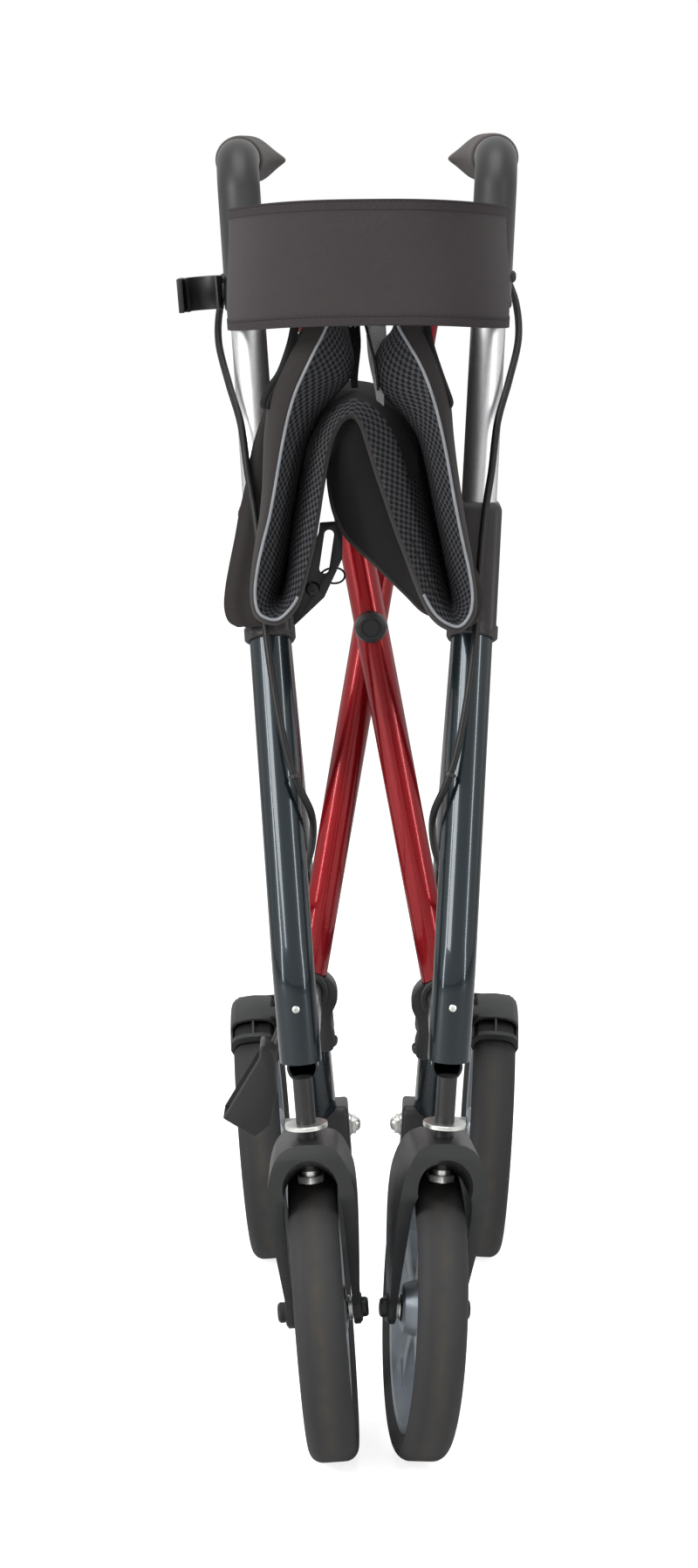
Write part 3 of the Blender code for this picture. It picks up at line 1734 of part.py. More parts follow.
def cane_cup(side):
    """An open cup for the cane's tip, on an arm from a clamp round the rear leg."""
    name = "cane_cup"
    turn = (0.0, side.sign * CUP_TILT, 0.0)
    obj = box(name, side.frame, CUP_SIZE, side.out(*CUP_AT), BLACK, turn=turn)
    clamp = leg_point(0.245)
    arm_end = side.out(CUP_AT.x - 0.012, CUP_AT.y + CUP_SIZE.y / 2 - 0.002, CUP_AT.z + 0.012)
    arm = tube(
        f"{name}_arm",
        side.frame,
        [side.out(*clamp), arm_end],
        0.0055,
        resolution=4,
    )
    join(obj, arm)
    collar = tube(
        f"{name}_collar",
        side.frame,
        [side.out(*(clamp - LEG_AXIS * 0.008)), side.out(*(clamp + LEG_AXIS * 0.008))],
        LEG_RADIUS + 0.0030,
    )
    join(obj, collar)
    inside = Vector((CUP_SIZE.x - 2 * CUP_WALL, CUP_SIZE.y - 2 * CUP_WALL, CUP_SIZE.z))
    lift = Vector((math.sin(CUP_TILT), 0.0, math.cos(CUP_TILT))) * CUP_WALL * 1.5
    hollow = box(
        f"{name}_inside",
        side.frame,
        inside,
        side.out(*(CUP_AT + lift)),
        turn=turn,
    )
    cut(obj, hollow)
    cut(obj, leg_bar(side, f"{name}_bore", LEG_RADIUS + FIT_GAP))


def side_frame(side):
    front_tube(side)
    rear_leg(side)
    lower_rail(side)
    tube_housing(side)
    guide_bracket(side)
    height_pin(side)
    caster_head(side)
    caster(side)
    rear_wheel(side)
    fender(side)
    brake_bracket(side)
    brake_arm(side)
    handle(side)
    brake_cable(side)


def build():
    clear_scene()
    base = empty("base", at=(SHIFT_X, SHIFT_Y, 0.0))
    sides = {name: Side(name, base) for name in ("left", "right")}
    for side in sides.values():
        side_frame(side)
    core = empty("core", base, (0.0, PIVOT_Y, PIVOT_Z))
    front = cross_tube(core, "front", sides["right"])
    back = cross_tube(core, "rear", sides["left"])
    pivot_bolt(core)
    seat_panel(sides["left"], front)
    seat_panel(sides["right"], back)
    seat_sling(base)
    bpy.context.view_layer.update()
    for side in sides.values():
        back_strap(side, base)
    cane_clip(sides["left"])
    cane_cup(sides["left"])


build()
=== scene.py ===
"""The folded walking frame as it looks: painted and bright tubes, mouldings, tyres, seat and back strap.

Metres, +Z up, -Y is the front. Each side's pieces are modelled once, upright, with x outboard, y back and
z above the floor, and are then set on both leaning side frames.
"""

import math

import bpy
from mathutils import Euler, Matrix, Quaternion, Vector


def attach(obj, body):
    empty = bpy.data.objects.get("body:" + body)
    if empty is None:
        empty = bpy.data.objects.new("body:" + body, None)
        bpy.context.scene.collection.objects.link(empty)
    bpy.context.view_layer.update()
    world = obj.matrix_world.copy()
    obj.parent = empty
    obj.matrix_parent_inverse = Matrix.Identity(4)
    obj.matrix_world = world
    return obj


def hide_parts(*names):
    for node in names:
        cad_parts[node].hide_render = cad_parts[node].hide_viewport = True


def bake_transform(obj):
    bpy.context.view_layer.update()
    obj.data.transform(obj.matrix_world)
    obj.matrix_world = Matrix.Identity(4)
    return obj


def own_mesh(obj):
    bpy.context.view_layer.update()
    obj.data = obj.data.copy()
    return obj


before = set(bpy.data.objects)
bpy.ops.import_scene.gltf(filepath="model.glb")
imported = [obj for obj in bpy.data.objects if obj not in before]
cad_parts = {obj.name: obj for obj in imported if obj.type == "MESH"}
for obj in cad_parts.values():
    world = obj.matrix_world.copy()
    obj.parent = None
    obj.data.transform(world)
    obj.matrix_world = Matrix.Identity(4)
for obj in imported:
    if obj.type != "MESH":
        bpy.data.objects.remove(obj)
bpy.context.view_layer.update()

# Fold linkage
SHIFT_X = 0.007468
LEAN = 4.0
HINGE_X = 0.04577
HINGE_Z = 0.263045
PIVOT_Y = -0.030
PIVOT_Z = 0.520
FOLD = 10.1
LOWER_ARM = 0.261
UPPER_ARM = 0.226
CROSS_RADIUS = 0.0112
CROSS_WALL = 0.0016
CROSS_SPACING = 0.025
SEAT_RAIL_RADIUS = 0.008
SEAT_RAIL_FRONT_Y = -0.240

# Side frame
HEAD_Y = -0.262
BEND_Z = 0.330
RAKE = math.radians(22.0)
FRAME_RADIUS = 0.01325
FRAME_WALL = 0.0013
FRAME_FOOT_Z = 0.272
FRAME_TOP_Z = 0.606
LEG_RADIUS = 0.01175
LEG_WALL = 0.0016
LEG_TOP = Vector((0.0, -0.1422, 0.552))
LEG_FOOT = Vector((0.006, 0.2380, 0.0900))
RAIL_RADIUS = 0.010
RAIL_WALL = 0.0015
HOUSING_WIDTH = 0.0295
HOUSING_TOP_Z = 0.614
HOUSING_FOOT_Z = 0.5330
GUIDE_Y = -0.150

# Handle
HANDLE_RADIUS = 0.0114
HANDLE_WALL = 0.0014
HANDLE_FOOT_Z = 0.450
HANDLE_Z = 0.832
HANDLE_BEND = 0.035
HANDLE_CORNER_Y = HEAD_Y + (HANDLE_Z - BEND_Z) * math.tan(RAKE)
HANDLE_END_Y = HANDLE_CORNER_Y + 0.1772
CASING_RADIUS = 0.014
CASING_FOOT_Z = HANDLE_Z - 0.095
CASING_END_Y = HANDLE_CORNER_Y + 0.0392
LEVER_PIVOT = Vector((0.0, HANDLE_CORNER_Y + 0.0282, HANDLE_Z - 0.033))
PIN_Z = HOUSING_TOP_Z - 0.020

# Casters and wheels
HEAD_RADIUS = 0.0165
TRAIL = 0.037
FRONT_AXLE_Z = 0.09723
REAR_AXLE_Y = 0.225
REAR_AXLE_Z = 0.10073
REAR_TRACK = 0.050
FORK_TOP_Z = 0.2285
FORK_ARCH_Z = 0.1985
TREAD_RADIUS = 0.0974
SPOKES = 5

# Gaps between pieces, and the radii of holes
FIT_GAP = 0.0003
SOCKET_GAP = 0.0002
BOLT_HOLE = 0.0043
STEM_HOLE = 0.0063

# Cables
CABLE_RADIUS = 0.0024

# The angle up to which cloth is shaded smooth
CLOTH_ANGLE = 60.0

# Back strap
STRAP_HEIGHT = 0.0755
STRAP_Z = 0.762
STRAP_FRONT_Y = -0.256
STRAP_THICKNESS = 0.0022
HEM_THICKNESS = 0.0031

RAKE_UP = Vector((0.0, math.sin(RAKE), math.cos(RAKE)))
RAKE_BACK = Vector((0.0, math.cos(RAKE), -math.sin(RAKE)))
LEG_DOWN = (LEG_FOOT - LEG_TOP).normalized()
SIDES = ("left", "right")


def at(x, y, z):
    """A move."""
    return Matrix.Translation((x, y, z))


def about(axis, degrees):
    """A turn about an axis."""
    return Matrix.Rotation(math.radians(degrees), 4, axis)


def aimed(direction, place=(0.0, 0.0, 0.0)):
    """Turns +Z to a direction and moves to a place."""
    turn = Vector(direction).to_track_quat("Z", "Y").to_matrix().to_4x4()
    return Matrix.Translation(place) @ turn


BASE = at(SHIFT_X, 0, 0)
MIRROR = Matrix.Scale(-1.0, 4, (1.0, 0.0, 0.0))
UPRIGHT = at(HINGE_X, 0, HINGE_Z) @ about("Y", LEAN) @ at(0, 0, -HINGE_Z)
FRAME = {"left": BASE @ MIRROR @ UPRIGHT, "right": BASE @ UPRIGHT}
SWIVEL = {
    "left": FRAME["left"] @ at(0, HEAD_Y, 0),
    "right": FRAME["right"] @ at(0, HEAD_Y, 0) @ about("Z", 6.0),
}
FRONT_AXLE = {side: SWIVEL[side] @ at(0, TRAIL, FRONT_AXLE_Z) for side in SIDES}
REAR_AXLE = {side: FRAME[side] @ at(REAR_TRACK, REAR_AXLE_Y, REAR_AXLE_Z) for side in SIDES}
PIVOT = at(SHIFT_X, PIVOT_Y, PIVOT_Z)
CROSS = {"front": PIVOT @ about("Y", -FOLD), "rear": PIVOT @ about("Y", FOLD)}


def raked_y(height):
    """Where the raked front tube's line runs at a height."""
    return HEAD_Y + (height - BEND_Z) * math.tan(RAKE)


def raked_point(height):
    """The point of the raked front tube's line at a height."""
    return Vector((0.0, raked_y(height), height))


def leg_point(height):
    """The point of the rear leg's line at a height."""
    share = (LEG_TOP.z - height) / (LEG_TOP.z - LEG_FOOT.z)
    return LEG_TOP + (LEG_FOOT - LEG_TOP) * share


def on_wheel(reach, degrees, x=0.0):
    """A point about the rear axle: its angle rises from the front, level, to straight up."""
    angle = math.radians(degrees)
    return Vector((x, REAR_AXLE_Y - reach * math.cos(angle), REAR_AXLE_Z + reach * math.sin(angle)))


BRAKE_ANGLE = 122.0
BRAKE_PIVOT = on_wheel(0.112, BRAKE_ANGLE)
FENDER_BOSS = on_wheel(0.102, 72.0)
BRAKE_PLATE_X = 0.0202


def smoothstep(value, low, high):
    """A smooth rise from 0 to 1 between two values."""
    t = min(max((value - low) / (high - low), 0.0), 1.0)
    return t * t * (3 - 2 * t)


def arc(centre, radius, start, end, steps=12):
    """Points along a plane arc between two angles in degrees."""
    points = []
    for step in range(steps + 1):
        angle = math.radians(start + (end - start) * step / steps)
        points.append((centre[0] + radius * math.cos(angle), centre[1] + radius * math.sin(angle)))
    return points


def smooth_path(points, steps=6, closed=False):
    """A smooth curve through the points, as closer points along it."""
    points = [Vector(point) for point in points]
    if closed:
        ends = [points[-1], *points, points[0], points[1]]
    else:
        ends = [points[0] * 2 - points[1], *points, points[-1] * 2 - points[-2]]
    path = [] if closed else [points[0]]
    for a, b, c, d in zip(ends, ends[1:], ends[2:], ends[3:]):
        for step in range(1, steps + 1):
            t = step / steps
            path.append(
                0.5
                * (
                    2 * b
                    + (c - a) * t
                    + (2 * a - 5 * b + 4 * c - d) * t**2
                    + (3 * b - a - 3 * c + d) * t**3
                )
            )
    return path


def front_line(points, steps):
    """A smooth line through points of the front view."""
    return smooth_path([(x, 0.0, z) for x, z in points], steps)


def rounded_path(corners, radius, steps=16):
    """The corner points as a path whose inner corners are arcs."""
    corners = [Vector(corner) for corner in corners]
    points = [corners[0]]
    for before, corner, after in zip(corners, corners[1:], corners[2:]):
        back = (before - corner).normalized()
        onward = (after - corner).normalized()
        half = back.angle(onward) / 2
        centre = corner + (back + onward).normalized() * (radius / math.sin(half))
        start = corner + back * (radius / math.tan(half)) - centre
        end = corner + onward * (radius / math.tan(half)) - centre
        turn = start.rotation_difference(end)
        for step in range(steps + 1):
            points.append(centre + Quaternion().slerp(turn, step / steps) @ start)
    points.append(corners[-1])
    return points


# Modelling


def deselect():
    """Back to object mode with nothing selected."""
    if bpy.context.mode != "OBJECT":
        bpy.ops.object.mode_set(mode="OBJECT")
    bpy.ops.object.select_all(action="DESELECT")


def choose(obj):
    """Selects one object alone and makes it active."""
    deselect()
    obj.select_set(True)
    bpy.context.view_layer.objects.active = obj
    return obj


def named(name):
    """Names the object that was just added."""
    obj = bpy.context.object
    obj.name = name
    obj.data.name = name
    return obj


def linked(name, data):
    """A new object in the scene."""
    obj = bpy.data.objects.new(name, data)
    bpy.context.scene.collection.objects.link(obj)
    return obj


def outward(obj, merge=None):
    """Turns every face outward, after merging points closer than a distance."""
    choose(obj)
    bpy.ops.object.mode_set(mode="EDIT")
    bpy.ops.mesh.select_all(action="SELECT")
    if merge:
        bpy.ops.mesh.remove_doubles(threshold=merge)
    bpy.ops.mesh.normals_make_consistent(inside=False)
    bpy.ops.object.mode_set(mode="OBJECT")
    return obj


def modify(obj, kind, **settings):
    """Adds a modifier and applies it."""
    choose(obj)
    modifier = obj.modifiers.new(kind.lower(), kind)
    for setting, value in settings.items():
        setattr(modifier, setting, value)
    bpy.ops.object.modifier_apply(modifier=modifier.name)
    return obj


def soften(obj, width, segments=3, angle=32.0):
    """Rounds the edges that turn by more than an angle."""
    return modify(
        obj,
        "BEVEL",
        width=width,
        segments=segments,
        limit_method="ANGLE",
        angle_limit=math.radians(angle),
    )


def combine(obj, other, operation):
    """Applies a boolean with another object, which it uses up."""
    modify(obj, "BOOLEAN", object=other, operation=operation, solver="EXACT")
    bpy.data.objects.remove(other, do_unlink=True)
    return obj


def cut(obj, other):
    """Takes another object away."""
    return combine(obj, other, "DIFFERENCE")


def weld(obj, other):
    """Joins another object on."""
    return combine(obj, other, "UNION")


def moved(obj, matrix):
    """Sets a mesh at a place, with its faces outward also where the place mirrors it."""
    obj.data.transform(matrix)
    if matrix.determinant() < 0:
        obj.data.flip_normals()
    obj.data.update()
    return obj


def chain(name, points, closed=False):
    """Edges extruded from point to point, left selected in edit mode."""
    deselect()
    bpy.ops.mesh.primitive_plane_add(size=0.001)
    obj = named(name)
    bpy.ops.object.mode_set(mode="EDIT")
    bpy.ops.mesh.merge(type="CENTER")
    points = [Vector(point) for point in points]
    bpy.ops.transform.translate(value=points[0])
    if closed:
        points.append(points[0])
    for here, onward in zip(points, points[1:]):
        bpy.ops.mesh.extrude_region_move(TRANSFORM_OT_translate={"value": onward - here})
    bpy.ops.mesh.select_all(action="SELECT")
    if closed:
        bpy.ops.mesh.remove_doubles(threshold=0.000001)
    return obj


def lathe(name, profile, steps=40, closed=False, along=None):
    """A profile of (radius, height) spun about Z, then turned along a direction."""
    obj = chain(name, [(radius, 0.0, height) for radius, height in profile], closed)
    bpy.ops.mesh.spin(steps=steps, angle=2 * math.pi, center=(0, 0, 0), axis=(0, 0, 1))
    outward(obj, 0.000005)
    if along is not None:
        moved(obj, aimed(along))
    return obj


def slab(name, outline, thickness, plane="xz", middle=0.0):
    """A closed outline in a plane, extruded to both sides of its middle."""
    place = {
        "xy": lambda a, b: Vector((a, b, middle - thickness / 2)),
        "xz": lambda a, b: Vector((a, middle - thickness / 2, b)),
        "yz": lambda a, b: Vector((middle - thickness / 2, a, b)),
    }[plane]
    step = {"xy": (0, 0, thickness), "xz": (0, thickness, 0), "yz": (thickness, 0, 0)}[plane]
    obj = chain(name, [place(a, b) for a, b in outline], closed=True)
    bpy.ops.mesh.edge_face_add()
    bpy.ops.mesh.extrude_region_move(TRANSFORM_OT_translate={"value": step})
    return outward(obj)


def rod(name, radius, length, place, along=(0, 0, 1), sides=32):
    """A plain round bar, which cuts, or is cut and rounded further."""
    deselect()
    bpy.ops.mesh.primitive_cylinder_add(vertices=sides, radius=radius, depth=length)
    return moved(named(name), aimed(along, place))


def block(name, size, place, turn=(0.0, 0.0, 0.0)):
    """A box that is cut or rounded further."""
    deselect()
    bpy.ops.mesh.primitive_cube_add(size=1.0)
    obj = named(name)
    matrix = Matrix.Translation(place) @ Euler(turn).to_matrix().to_4x4()
    return moved(obj, matrix @ Matrix.Diagonal((*size, 1.0)))


def bar(name, points, radius, resolution=8, caps=True):
    """A round bar along a path: a bevelled curve made into a mesh."""
    data = bpy.data.curves.new(name, "CURVE")
    data.dimensions = "3D"
    data.bevel_depth = radius
    data.bevel_resolution = resolution
    data.use_fill_caps = caps
    spline = data.splines.new("POLY")
    spline.points.add(len(points) - 1)
    for point, target in zip(points, spline.points):
        target.co = (*point, 1.0)
    choose(linked(name, data))
    bpy.ops.object.convert(target="MESH")
    obj = named(name)
    if caps:
        outward(obj, 0.000001)
    return obj


def pipe(name, points, radius, wall, resolution=10):
    """A hollow tube with a wall, open at both ends."""
    obj = bar(name, points, radius, resolution, caps=False)
    return modify(obj, "SOLIDIFY", thickness=wall, offset=-1.0, use_even_offset=True)


def cloth_grid(name, rows, closed=False):
    """A sheet through rows of points, with its arc lengths as a UV map."""
    mesh = bpy.data.meshes.new(name)
    width = len(rows[0])
    points = [tuple(point) for row in rows for point in row]
    around = width if closed else width - 1
    faces = []
    for i in range(len(rows) - 1):
        for j in range(around):
            k = (j + 1) % width
            faces.append(
                (i * width + j, i * width + k, (i + 1) * width + k, (i + 1) * width + j)
            )
    mesh.from_pydata(points, [], faces)
    lengths = []
    for row in rows:
        total = [0.0]
        following = [*row[1:], row[0]] if closed else row[1:]
        for a, b in zip(row, following):
            total.append(total[-1] + (Vector(b) - Vector(a)).length)
        lengths.append(total)
    down = [0.0]
    middle = width // 2
    for a, b in zip(rows, rows[1:]):
        down.append(down[-1] + (Vector(b[middle]) - Vector(a[middle])).length)
    layer = mesh.uv_layers.new(name="cloth")
    corner = 0
    for i in range(len(rows) - 1):
        for j in range(around):
            for row, column in ((i, j), (i, j + 1), (i + 1, j + 1), (i + 1, j)):
                layer.data[corner].uv = (lengths[row][column], down[row])
                corner += 1
    return linked(name, mesh)


def dress(obj, body, finish, nodes=(), angle=35.0):
    """Gives a finished mesh its material if it has none, smooth shading and body, and hides the CAD nodes it
    replaces.
    """
    if not obj.data.materials:
        obj.data.materials.append(finish)
    choose(obj)
    bpy.ops.object.shade_smooth_by_angle(angle=math.radians(angle))
    if body:
        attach(obj, body)
    if nodes:
        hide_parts(*nodes)
    return obj


def cloth_piece(name, rows, thickness, body, finish, nodes=(), angle=CLOTH_ANGLE):
    """A finished sheet of cloth of a thickness through rows of points."""
    obj = modify(cloth_grid(name, rows), "SOLIDIFY", thickness=thickness, offset=0.0)
    moved(outward(obj), BASE)
    return dress(obj, body, finish, nodes, angle)


def pair(model, name, body, finish, node=None, places=FRAME, angle=35.0):
    """A left and a right copy of a model, each on its own body."""
    for side in SIDES:
        copy = moved(linked(f"{name}_{side}", model.data.copy()), places[side])
        nodes = [f"{node}_{side}"] if node else []
        dress(copy, f"{body}_{side}", finish, nodes, angle)
    bpy.data.objects.remove(model, do_unlink=True)


# Finishes


def feed(tree, value, target):
    """Gives a socket a plain value, or links a field to it."""
    if isinstance(value, Field):
        tree.links.new(value.socket, target)
    else:
        target.default_value = value


class Field:
    """A shader value that can stand in a sum."""

    def __init__(self, tree, socket):
        self.tree = tree
        self.socket = socket

    def combined(self, operation, *values):
        """The result of a math node."""
        node = self.tree.nodes.new("ShaderNodeMath")
        node.operation = operation
        for value, target in zip(values, node.inputs):
            feed(self.tree, value, target)
        return Field(self.tree, node.outputs[0])

    def __add__(self, other):
        return self.combined("ADD", self, other)

    def __radd__(self, other):
        return self.combined("ADD", other, self)

    def __sub__(self, other):
        return self.combined("SUBTRACT", self, other)

    def __rsub__(self, other):
        return self.combined("SUBTRACT", other, self)

    def __mul__(self, other):
        return self.combined("MULTIPLY", self, other)

    def __rmul__(self, other):
        return self.combined("MULTIPLY", other, self)

    def sine(self):
        """Its sine."""
        return self.combined("SINE", self)

    def between(self, low, high):
        """The value held between two limits."""
        return self.combined("MINIMUM", self.combined("MAXIMUM", self, low), high)


class Finish:
    """A material whose surface values are numbers or painted fields."""

    def __init__(self, name, colour, roughness, metallic=0.0, specular=0.5):
        self.material = bpy.data.materials.new(name)
        self.material.use_nodes = True
        self.tree = self.material.node_tree
        self.surface = self.tree.nodes["Principled BSDF"]
        self.colour = colour
        self.set("Base Color", (*colour, 1.0))
        self.set("Roughness", roughness)
        self.set("Metallic", metallic)
        self.set("Specular IOR Level", specular)

    def set(self, name, value):
        """Sets one value of the surface."""
        feed(self.tree, value, self.surface.inputs[name])

    def node(self, kind, settings=None, values=None, output=0):
        """Any other node: its settings first, then its inputs by name or number."""
        node = self.tree.nodes.new(kind)
        for setting, value in (settings or {}).items():
            setattr(node, setting, value)
        for name, value in (values or {}).items():
            feed(self.tree, value, node.inputs[name])
        return Field(self.tree, node.outputs[output])

    def noise(self, scale, detail=2.0, roughness=0.5, stretch=None):
        """Noise in the object's own space, which may be stretched along its axes first."""
        vector = self.node("ShaderNodeTexCoord", output=3)
        if stretch:
            vector = self.node("ShaderNodeMapping", values={"Vector": vector, "Scale": stretch})
        values = {"Vector": vector, "Scale": scale, "Detail": detail, "Roughness": roughness}
        return self.node("ShaderNodeTexNoise", values=values)

    def uv(self):
        """The two sides of the cloth's UV map, in metres."""
        found = self.node("ShaderNodeUVMap", {"uv_map": "cloth"})
        return [self.node("ShaderNodeSeparateXYZ", None, {0: found}, side) for side in (0, 1)]

    def threads(self, pitch):
        """Crossed threads a pitch apart on the UV map."""
        u, v = self.uv()
        turns = 2 * math.pi / pitch
        return (u * turns).sine() * (v * turns).sine()

    def attribute(self, name):
        """A mesh attribute's value."""
        return self.node("ShaderNodeAttribute", {"attribute_name": name}, output=2)

    def blend(self, amount, first, second):
        """A colour between two colours."""
        first, second = [
            colour if isinstance(colour, Field) else (*colour, 1.0) for colour in (first, second)
        ]
        return self.node("ShaderNodeMix", {"data_type": "RGBA"}, {0: amount, 6: first, 7: second}, 2)

    def tone(self, level):
        """The finish's colour at a level."""
        return tuple(value * level for value in self.colour)

    def mottled(self, scale, low, high):
        """The finish's colour, varied between two levels."""
        amount = self.noise(scale, 4.0).between(0.3, 0.7) * 2.5 - 0.75
        return self.blend(amount, self.tone(low), self.tone(high))

    def yarn(self, weave, low, high):
        """The unevenness of woven yarn, and the colour between two levels that follows it and the weave."""
        slub = self.noise(1.0, 4.0, 0.6, (90.0, 90.0, 260.0))
        shade = (0.5 + weave * 0.22 + (slub - 0.5) * 0.9).between(0.0, 1.0)
        return slub, self.blend(shade, self.tone(low), self.tone(high))

    def painted(self, colour, roughness, relief, depth):
        """The material with its varied colour and roughness and its relief of a depth in metres."""
        self.set("Base Color", colour)
        self.set("Roughness", roughness)
        values = {"Height": relief, "Strength": 1.0, "Distance": depth}
        self.set("Normal", self.node("ShaderNodeBump", values=values))
        return self.material


def coated(name, colour, metallic, coat, limits, dark, light, gloss_scale):
    """Metallic paint with fine flakes under a clear coat."""
    finish = Finish(name, colour, 0.30, metallic, 0.2)
    finish.set("Coat Weight", coat)
    finish.set("Coat Roughness", 0.05)
    flakes = finish.noise(2600.0, 1.0).between(*limits)
    gloss = 0.22 + finish.noise(gloss_scale, 3.0) * 0.12
    return finish.painted(finish.blend(flakes, dark, light), gloss, finish.noise(700.0, 1.0), 0.00001)


def uneven(name, colour, roughness, metallic, specular, mottle, gloss, grain, depth):
    """A plain surface with mottled colour, uneven gloss and a fine grain.

    The mottling is a scale and two levels, the gloss a least roughness, its noise's scale and detail and the
    noise's share, and the grain its noise's scale, detail and roughness.
    """
    finish = Finish(name, colour, roughness, metallic, specular)
    least, scale, detail, share = gloss
    matt = least + finish.noise(scale, detail) * share
    return finish.painted(finish.mottled(*mottle), matt, finish.noise(*grain), depth)


def moulding(name, colour, roughness=0.46):
    """Moulded plastic with a fine spark-eroded grain and faint flow marks."""
    gloss = (roughness - 0.08, 60.0, 3.0, 0.16)
    grain = (1900.0, 3.0, 0.6)
    return uneven(name, colour, roughness, 0.0, 0.40, (45.0, 0.86, 1.18), gloss, grain, 0.00003)


def bright_aluminium():
    """Anodised tube, satin, with fine uneven haze."""
    finish = Finish("bright_aluminium", (0.60, 0.60, 0.61), 0.30, 1.0)
    haze = finish.noise(420.0, 3.0)
    colour = finish.blend(haze, (0.56, 0.56, 0.57), (0.66, 0.66, 0.67))
    return finish.painted(colour, 0.37 + haze * 0.10, finish.noise(2400.0, 1.0), 0.000004)


def tyre_rubber():
    """Grey-black rubber with dust worn into the middle of the tread."""
    rubber = (0.024, 0.024, 0.025)
    finish = Finish("tyre_rubber", rubber, 0.72, 0.0, 0.32)
    tread = finish.attribute("tread")
    worn = finish.noise(1.0, 5.0, 0.65, (55.0, 55.0, 55.0))
    dust = (tread * tread * (worn * 1.7 - 0.45).between(0.0, 1.0)).between(0.0, 1.0)
    colour = finish.blend(dust, rubber, (0.058, 0.050, 0.038))
    fine = finish.noise(900.0, 4.0, 0.65)
    return finish.painted(colour, 0.62 + worn * 0.22, fine + worn * 0.6, 0.00009)


def woven(name, colour, pitch, depth=0.00008):
    """Plain-woven cloth on its UV map, with slight shading along the threads."""
    finish = Finish(name, colour, 0.82, 0.0, 0.20)
    finish.set("Sheen Weight", 0.06)
    finish.set("Sheen Roughness", 0.5)
    weave = finish.threads(pitch)
    slub, cloth = finish.yarn(weave, 0.80, 1.22)
    return finish.painted(cloth, 0.74 + slub * 0.18, weave + slub * 0.8, depth)


def tape(name, colour):
    """Binding tape on its UV map, with a row of stitches along its inner edge."""
    finish = Finish(name, colour, 0.82, 0.0, 0.20)
    u, v = finish.uv()
    weave = finish.threads(0.0013)
    slub, cloth = finish.yarn(weave, 0.82, 1.20)
    offset = (v - 0.0052) * 2200.0
    seam = (1.0 - offset * offset).between(0.0, 1.0)
    dash = ((u * (2 * math.pi / 0.0034)).sine() * 3.0 + 1.2).between(0.0, 1.0)
    stitch = (seam * dash).between(0.0, 1.0)
    stitched = finish.blend(stitch, cloth, finish.tone(0.35))
    relief = weave * 0.2 + stitch * 1.6 - seam * 1.2
    return finish.painted(stitched, 0.76 + slub * 0.16, relief, 0.00035)


def striped(name, dark, light):
    """Narrow webbing with slanted light stripes."""
    finish = Finish(name, dark, 0.8, 0.0, 0.20)
    u, v = finish.uv()
    stripe = (((u + v * 0.8) * (2 * math.pi / 0.0036)).sine() * 4.0 + 0.3).between(0.0, 1.0)
    weave = finish.threads(0.0012)
    return finish.painted(finish.blend(stripe, dark, light), 0.80 + weave * 0.05, weave + stripe, 0.00012)


def spacer_mesh():
    """Knitted mesh with staggered diamond holes, which are bumped and painted near-black as the shade inside
    them.
    """
    finish = Finish("seat_mesh", (0.030, 0.031, 0.037), 0.78, 0.0, 0.25)
    hole = ((finish.threads(0.0056) + 0.02) * 5.0).between(0.0, 1.0)
    yarn = finish.noise(1.0, 3.0, stretch=(900.0, 900.0, 900.0))
    thread = finish.blend(yarn, (0.022, 0.0225, 0.025), (0.067, 0.068, 0.075))
    # The holes are painted shade: near-black colour in place of the dark inside of holes that are not cut
    # through
    colour = finish.blend(hole, thread, (0.0025, 0.0025, 0.0030))
    return finish.painted(colour, 0.68 + yarn * 0.2, (1.0 - hole) + yarn * 0.25, 0.0008)


def piping():
    """Light cloth drawn tight over a cord, with a twist along it."""
    finish = Finish("seat_piping", (0.20, 0.21, 0.225), 0.5)
    twist = finish.noise(1.0, 2.0, stretch=(700.0, 700.0, 1400.0))
    return finish.painted(finish.mottled(120.0, 0.85, 1.12), 0.44 + twist * 0.14, twist, 0.00008)


PAINT = coated(
    "frame_paint",
    (0.024, 0.036, 0.042),
    0.55,
    0.5,
    (0.35, 0.75), (0.0045, 0.0085, 0.011), (0.018, 0.027, 0.033),
    30.0,
)
RED = coated(
    "red_paint",
    (0.25, 0.006, 0.012),
    0.40,
    0.35,
    (0.3, 0.7), (0.18, 0.002, 0.004), (0.30, 0.006, 0.011),
    35.0,
)
BRIGHT = bright_aluminium()
ZINC = uneven(
    "zinc_plate",
    (0.62, 0.63, 0.60),
    0.30,
    1.0,
    0.5,
    mottle=(180.0, 0.82, 1.12),
    gloss=(0.22, 260.0, 3.0, 0.22),
    grain=(1800.0, 2.0),
    depth=0.00001,
)
BLACK_STEEL = uneven(
    "black_steel",
    (0.020, 0.020, 0.021),
    0.40,
    0.5,
    0.5,
    mottle=(220.0, 0.7, 1.6),
    gloss=(0.30, 200.0, 3.0, 0.2),
    grain=(1500.0, 2.0),
    depth=0.00001,
)
HUB = uneven(
    "hub_moulding",
    (0.25, 0.28, 0.31),
    0.38,
    0.45,
    0.5,
    mottle=(60.0, 0.92, 1.08),
    gloss=(0.30, 150.0, 3.0, 0.16),
    grain=(1700.0, 2.0),
    depth=0.00002,
)
GRIP = uneven(
    "grip_rubber",
    (0.045, 0.038, 0.036),
    0.62,
    0.0,
    0.32,
    mottle=(70.0, 0.86, 1.18),
    gloss=(0.55, 300.0, 3.0, 0.18),
    grain=(1300.0, 4.0, 0.6),
    depth=0.00006,
)
SHEATH = uneven(
    "cable_sheath",
    (0.007, 0.007, 0.0075),
    0.42,
    0.0,
    0.25,
    mottle=(160.0, 0.8, 1.5),
    gloss=(0.36, 120.0, 2.0, 0.16),
    grain=(900.0, 2.0),
    depth=0.00003,
)
BLACK = moulding("black_moulding", (0.013, 0.013, 0.014))
SLEEVE = moulding("sleeve_moulding", (0.0128, 0.0120, 0.0128), 0.44)
FORK = moulding("fork_moulding", (0.0125, 0.013, 0.0135), 0.44)
FENDER = moulding("fender_moulding", (0.019, 0.020, 0.021), 0.55)
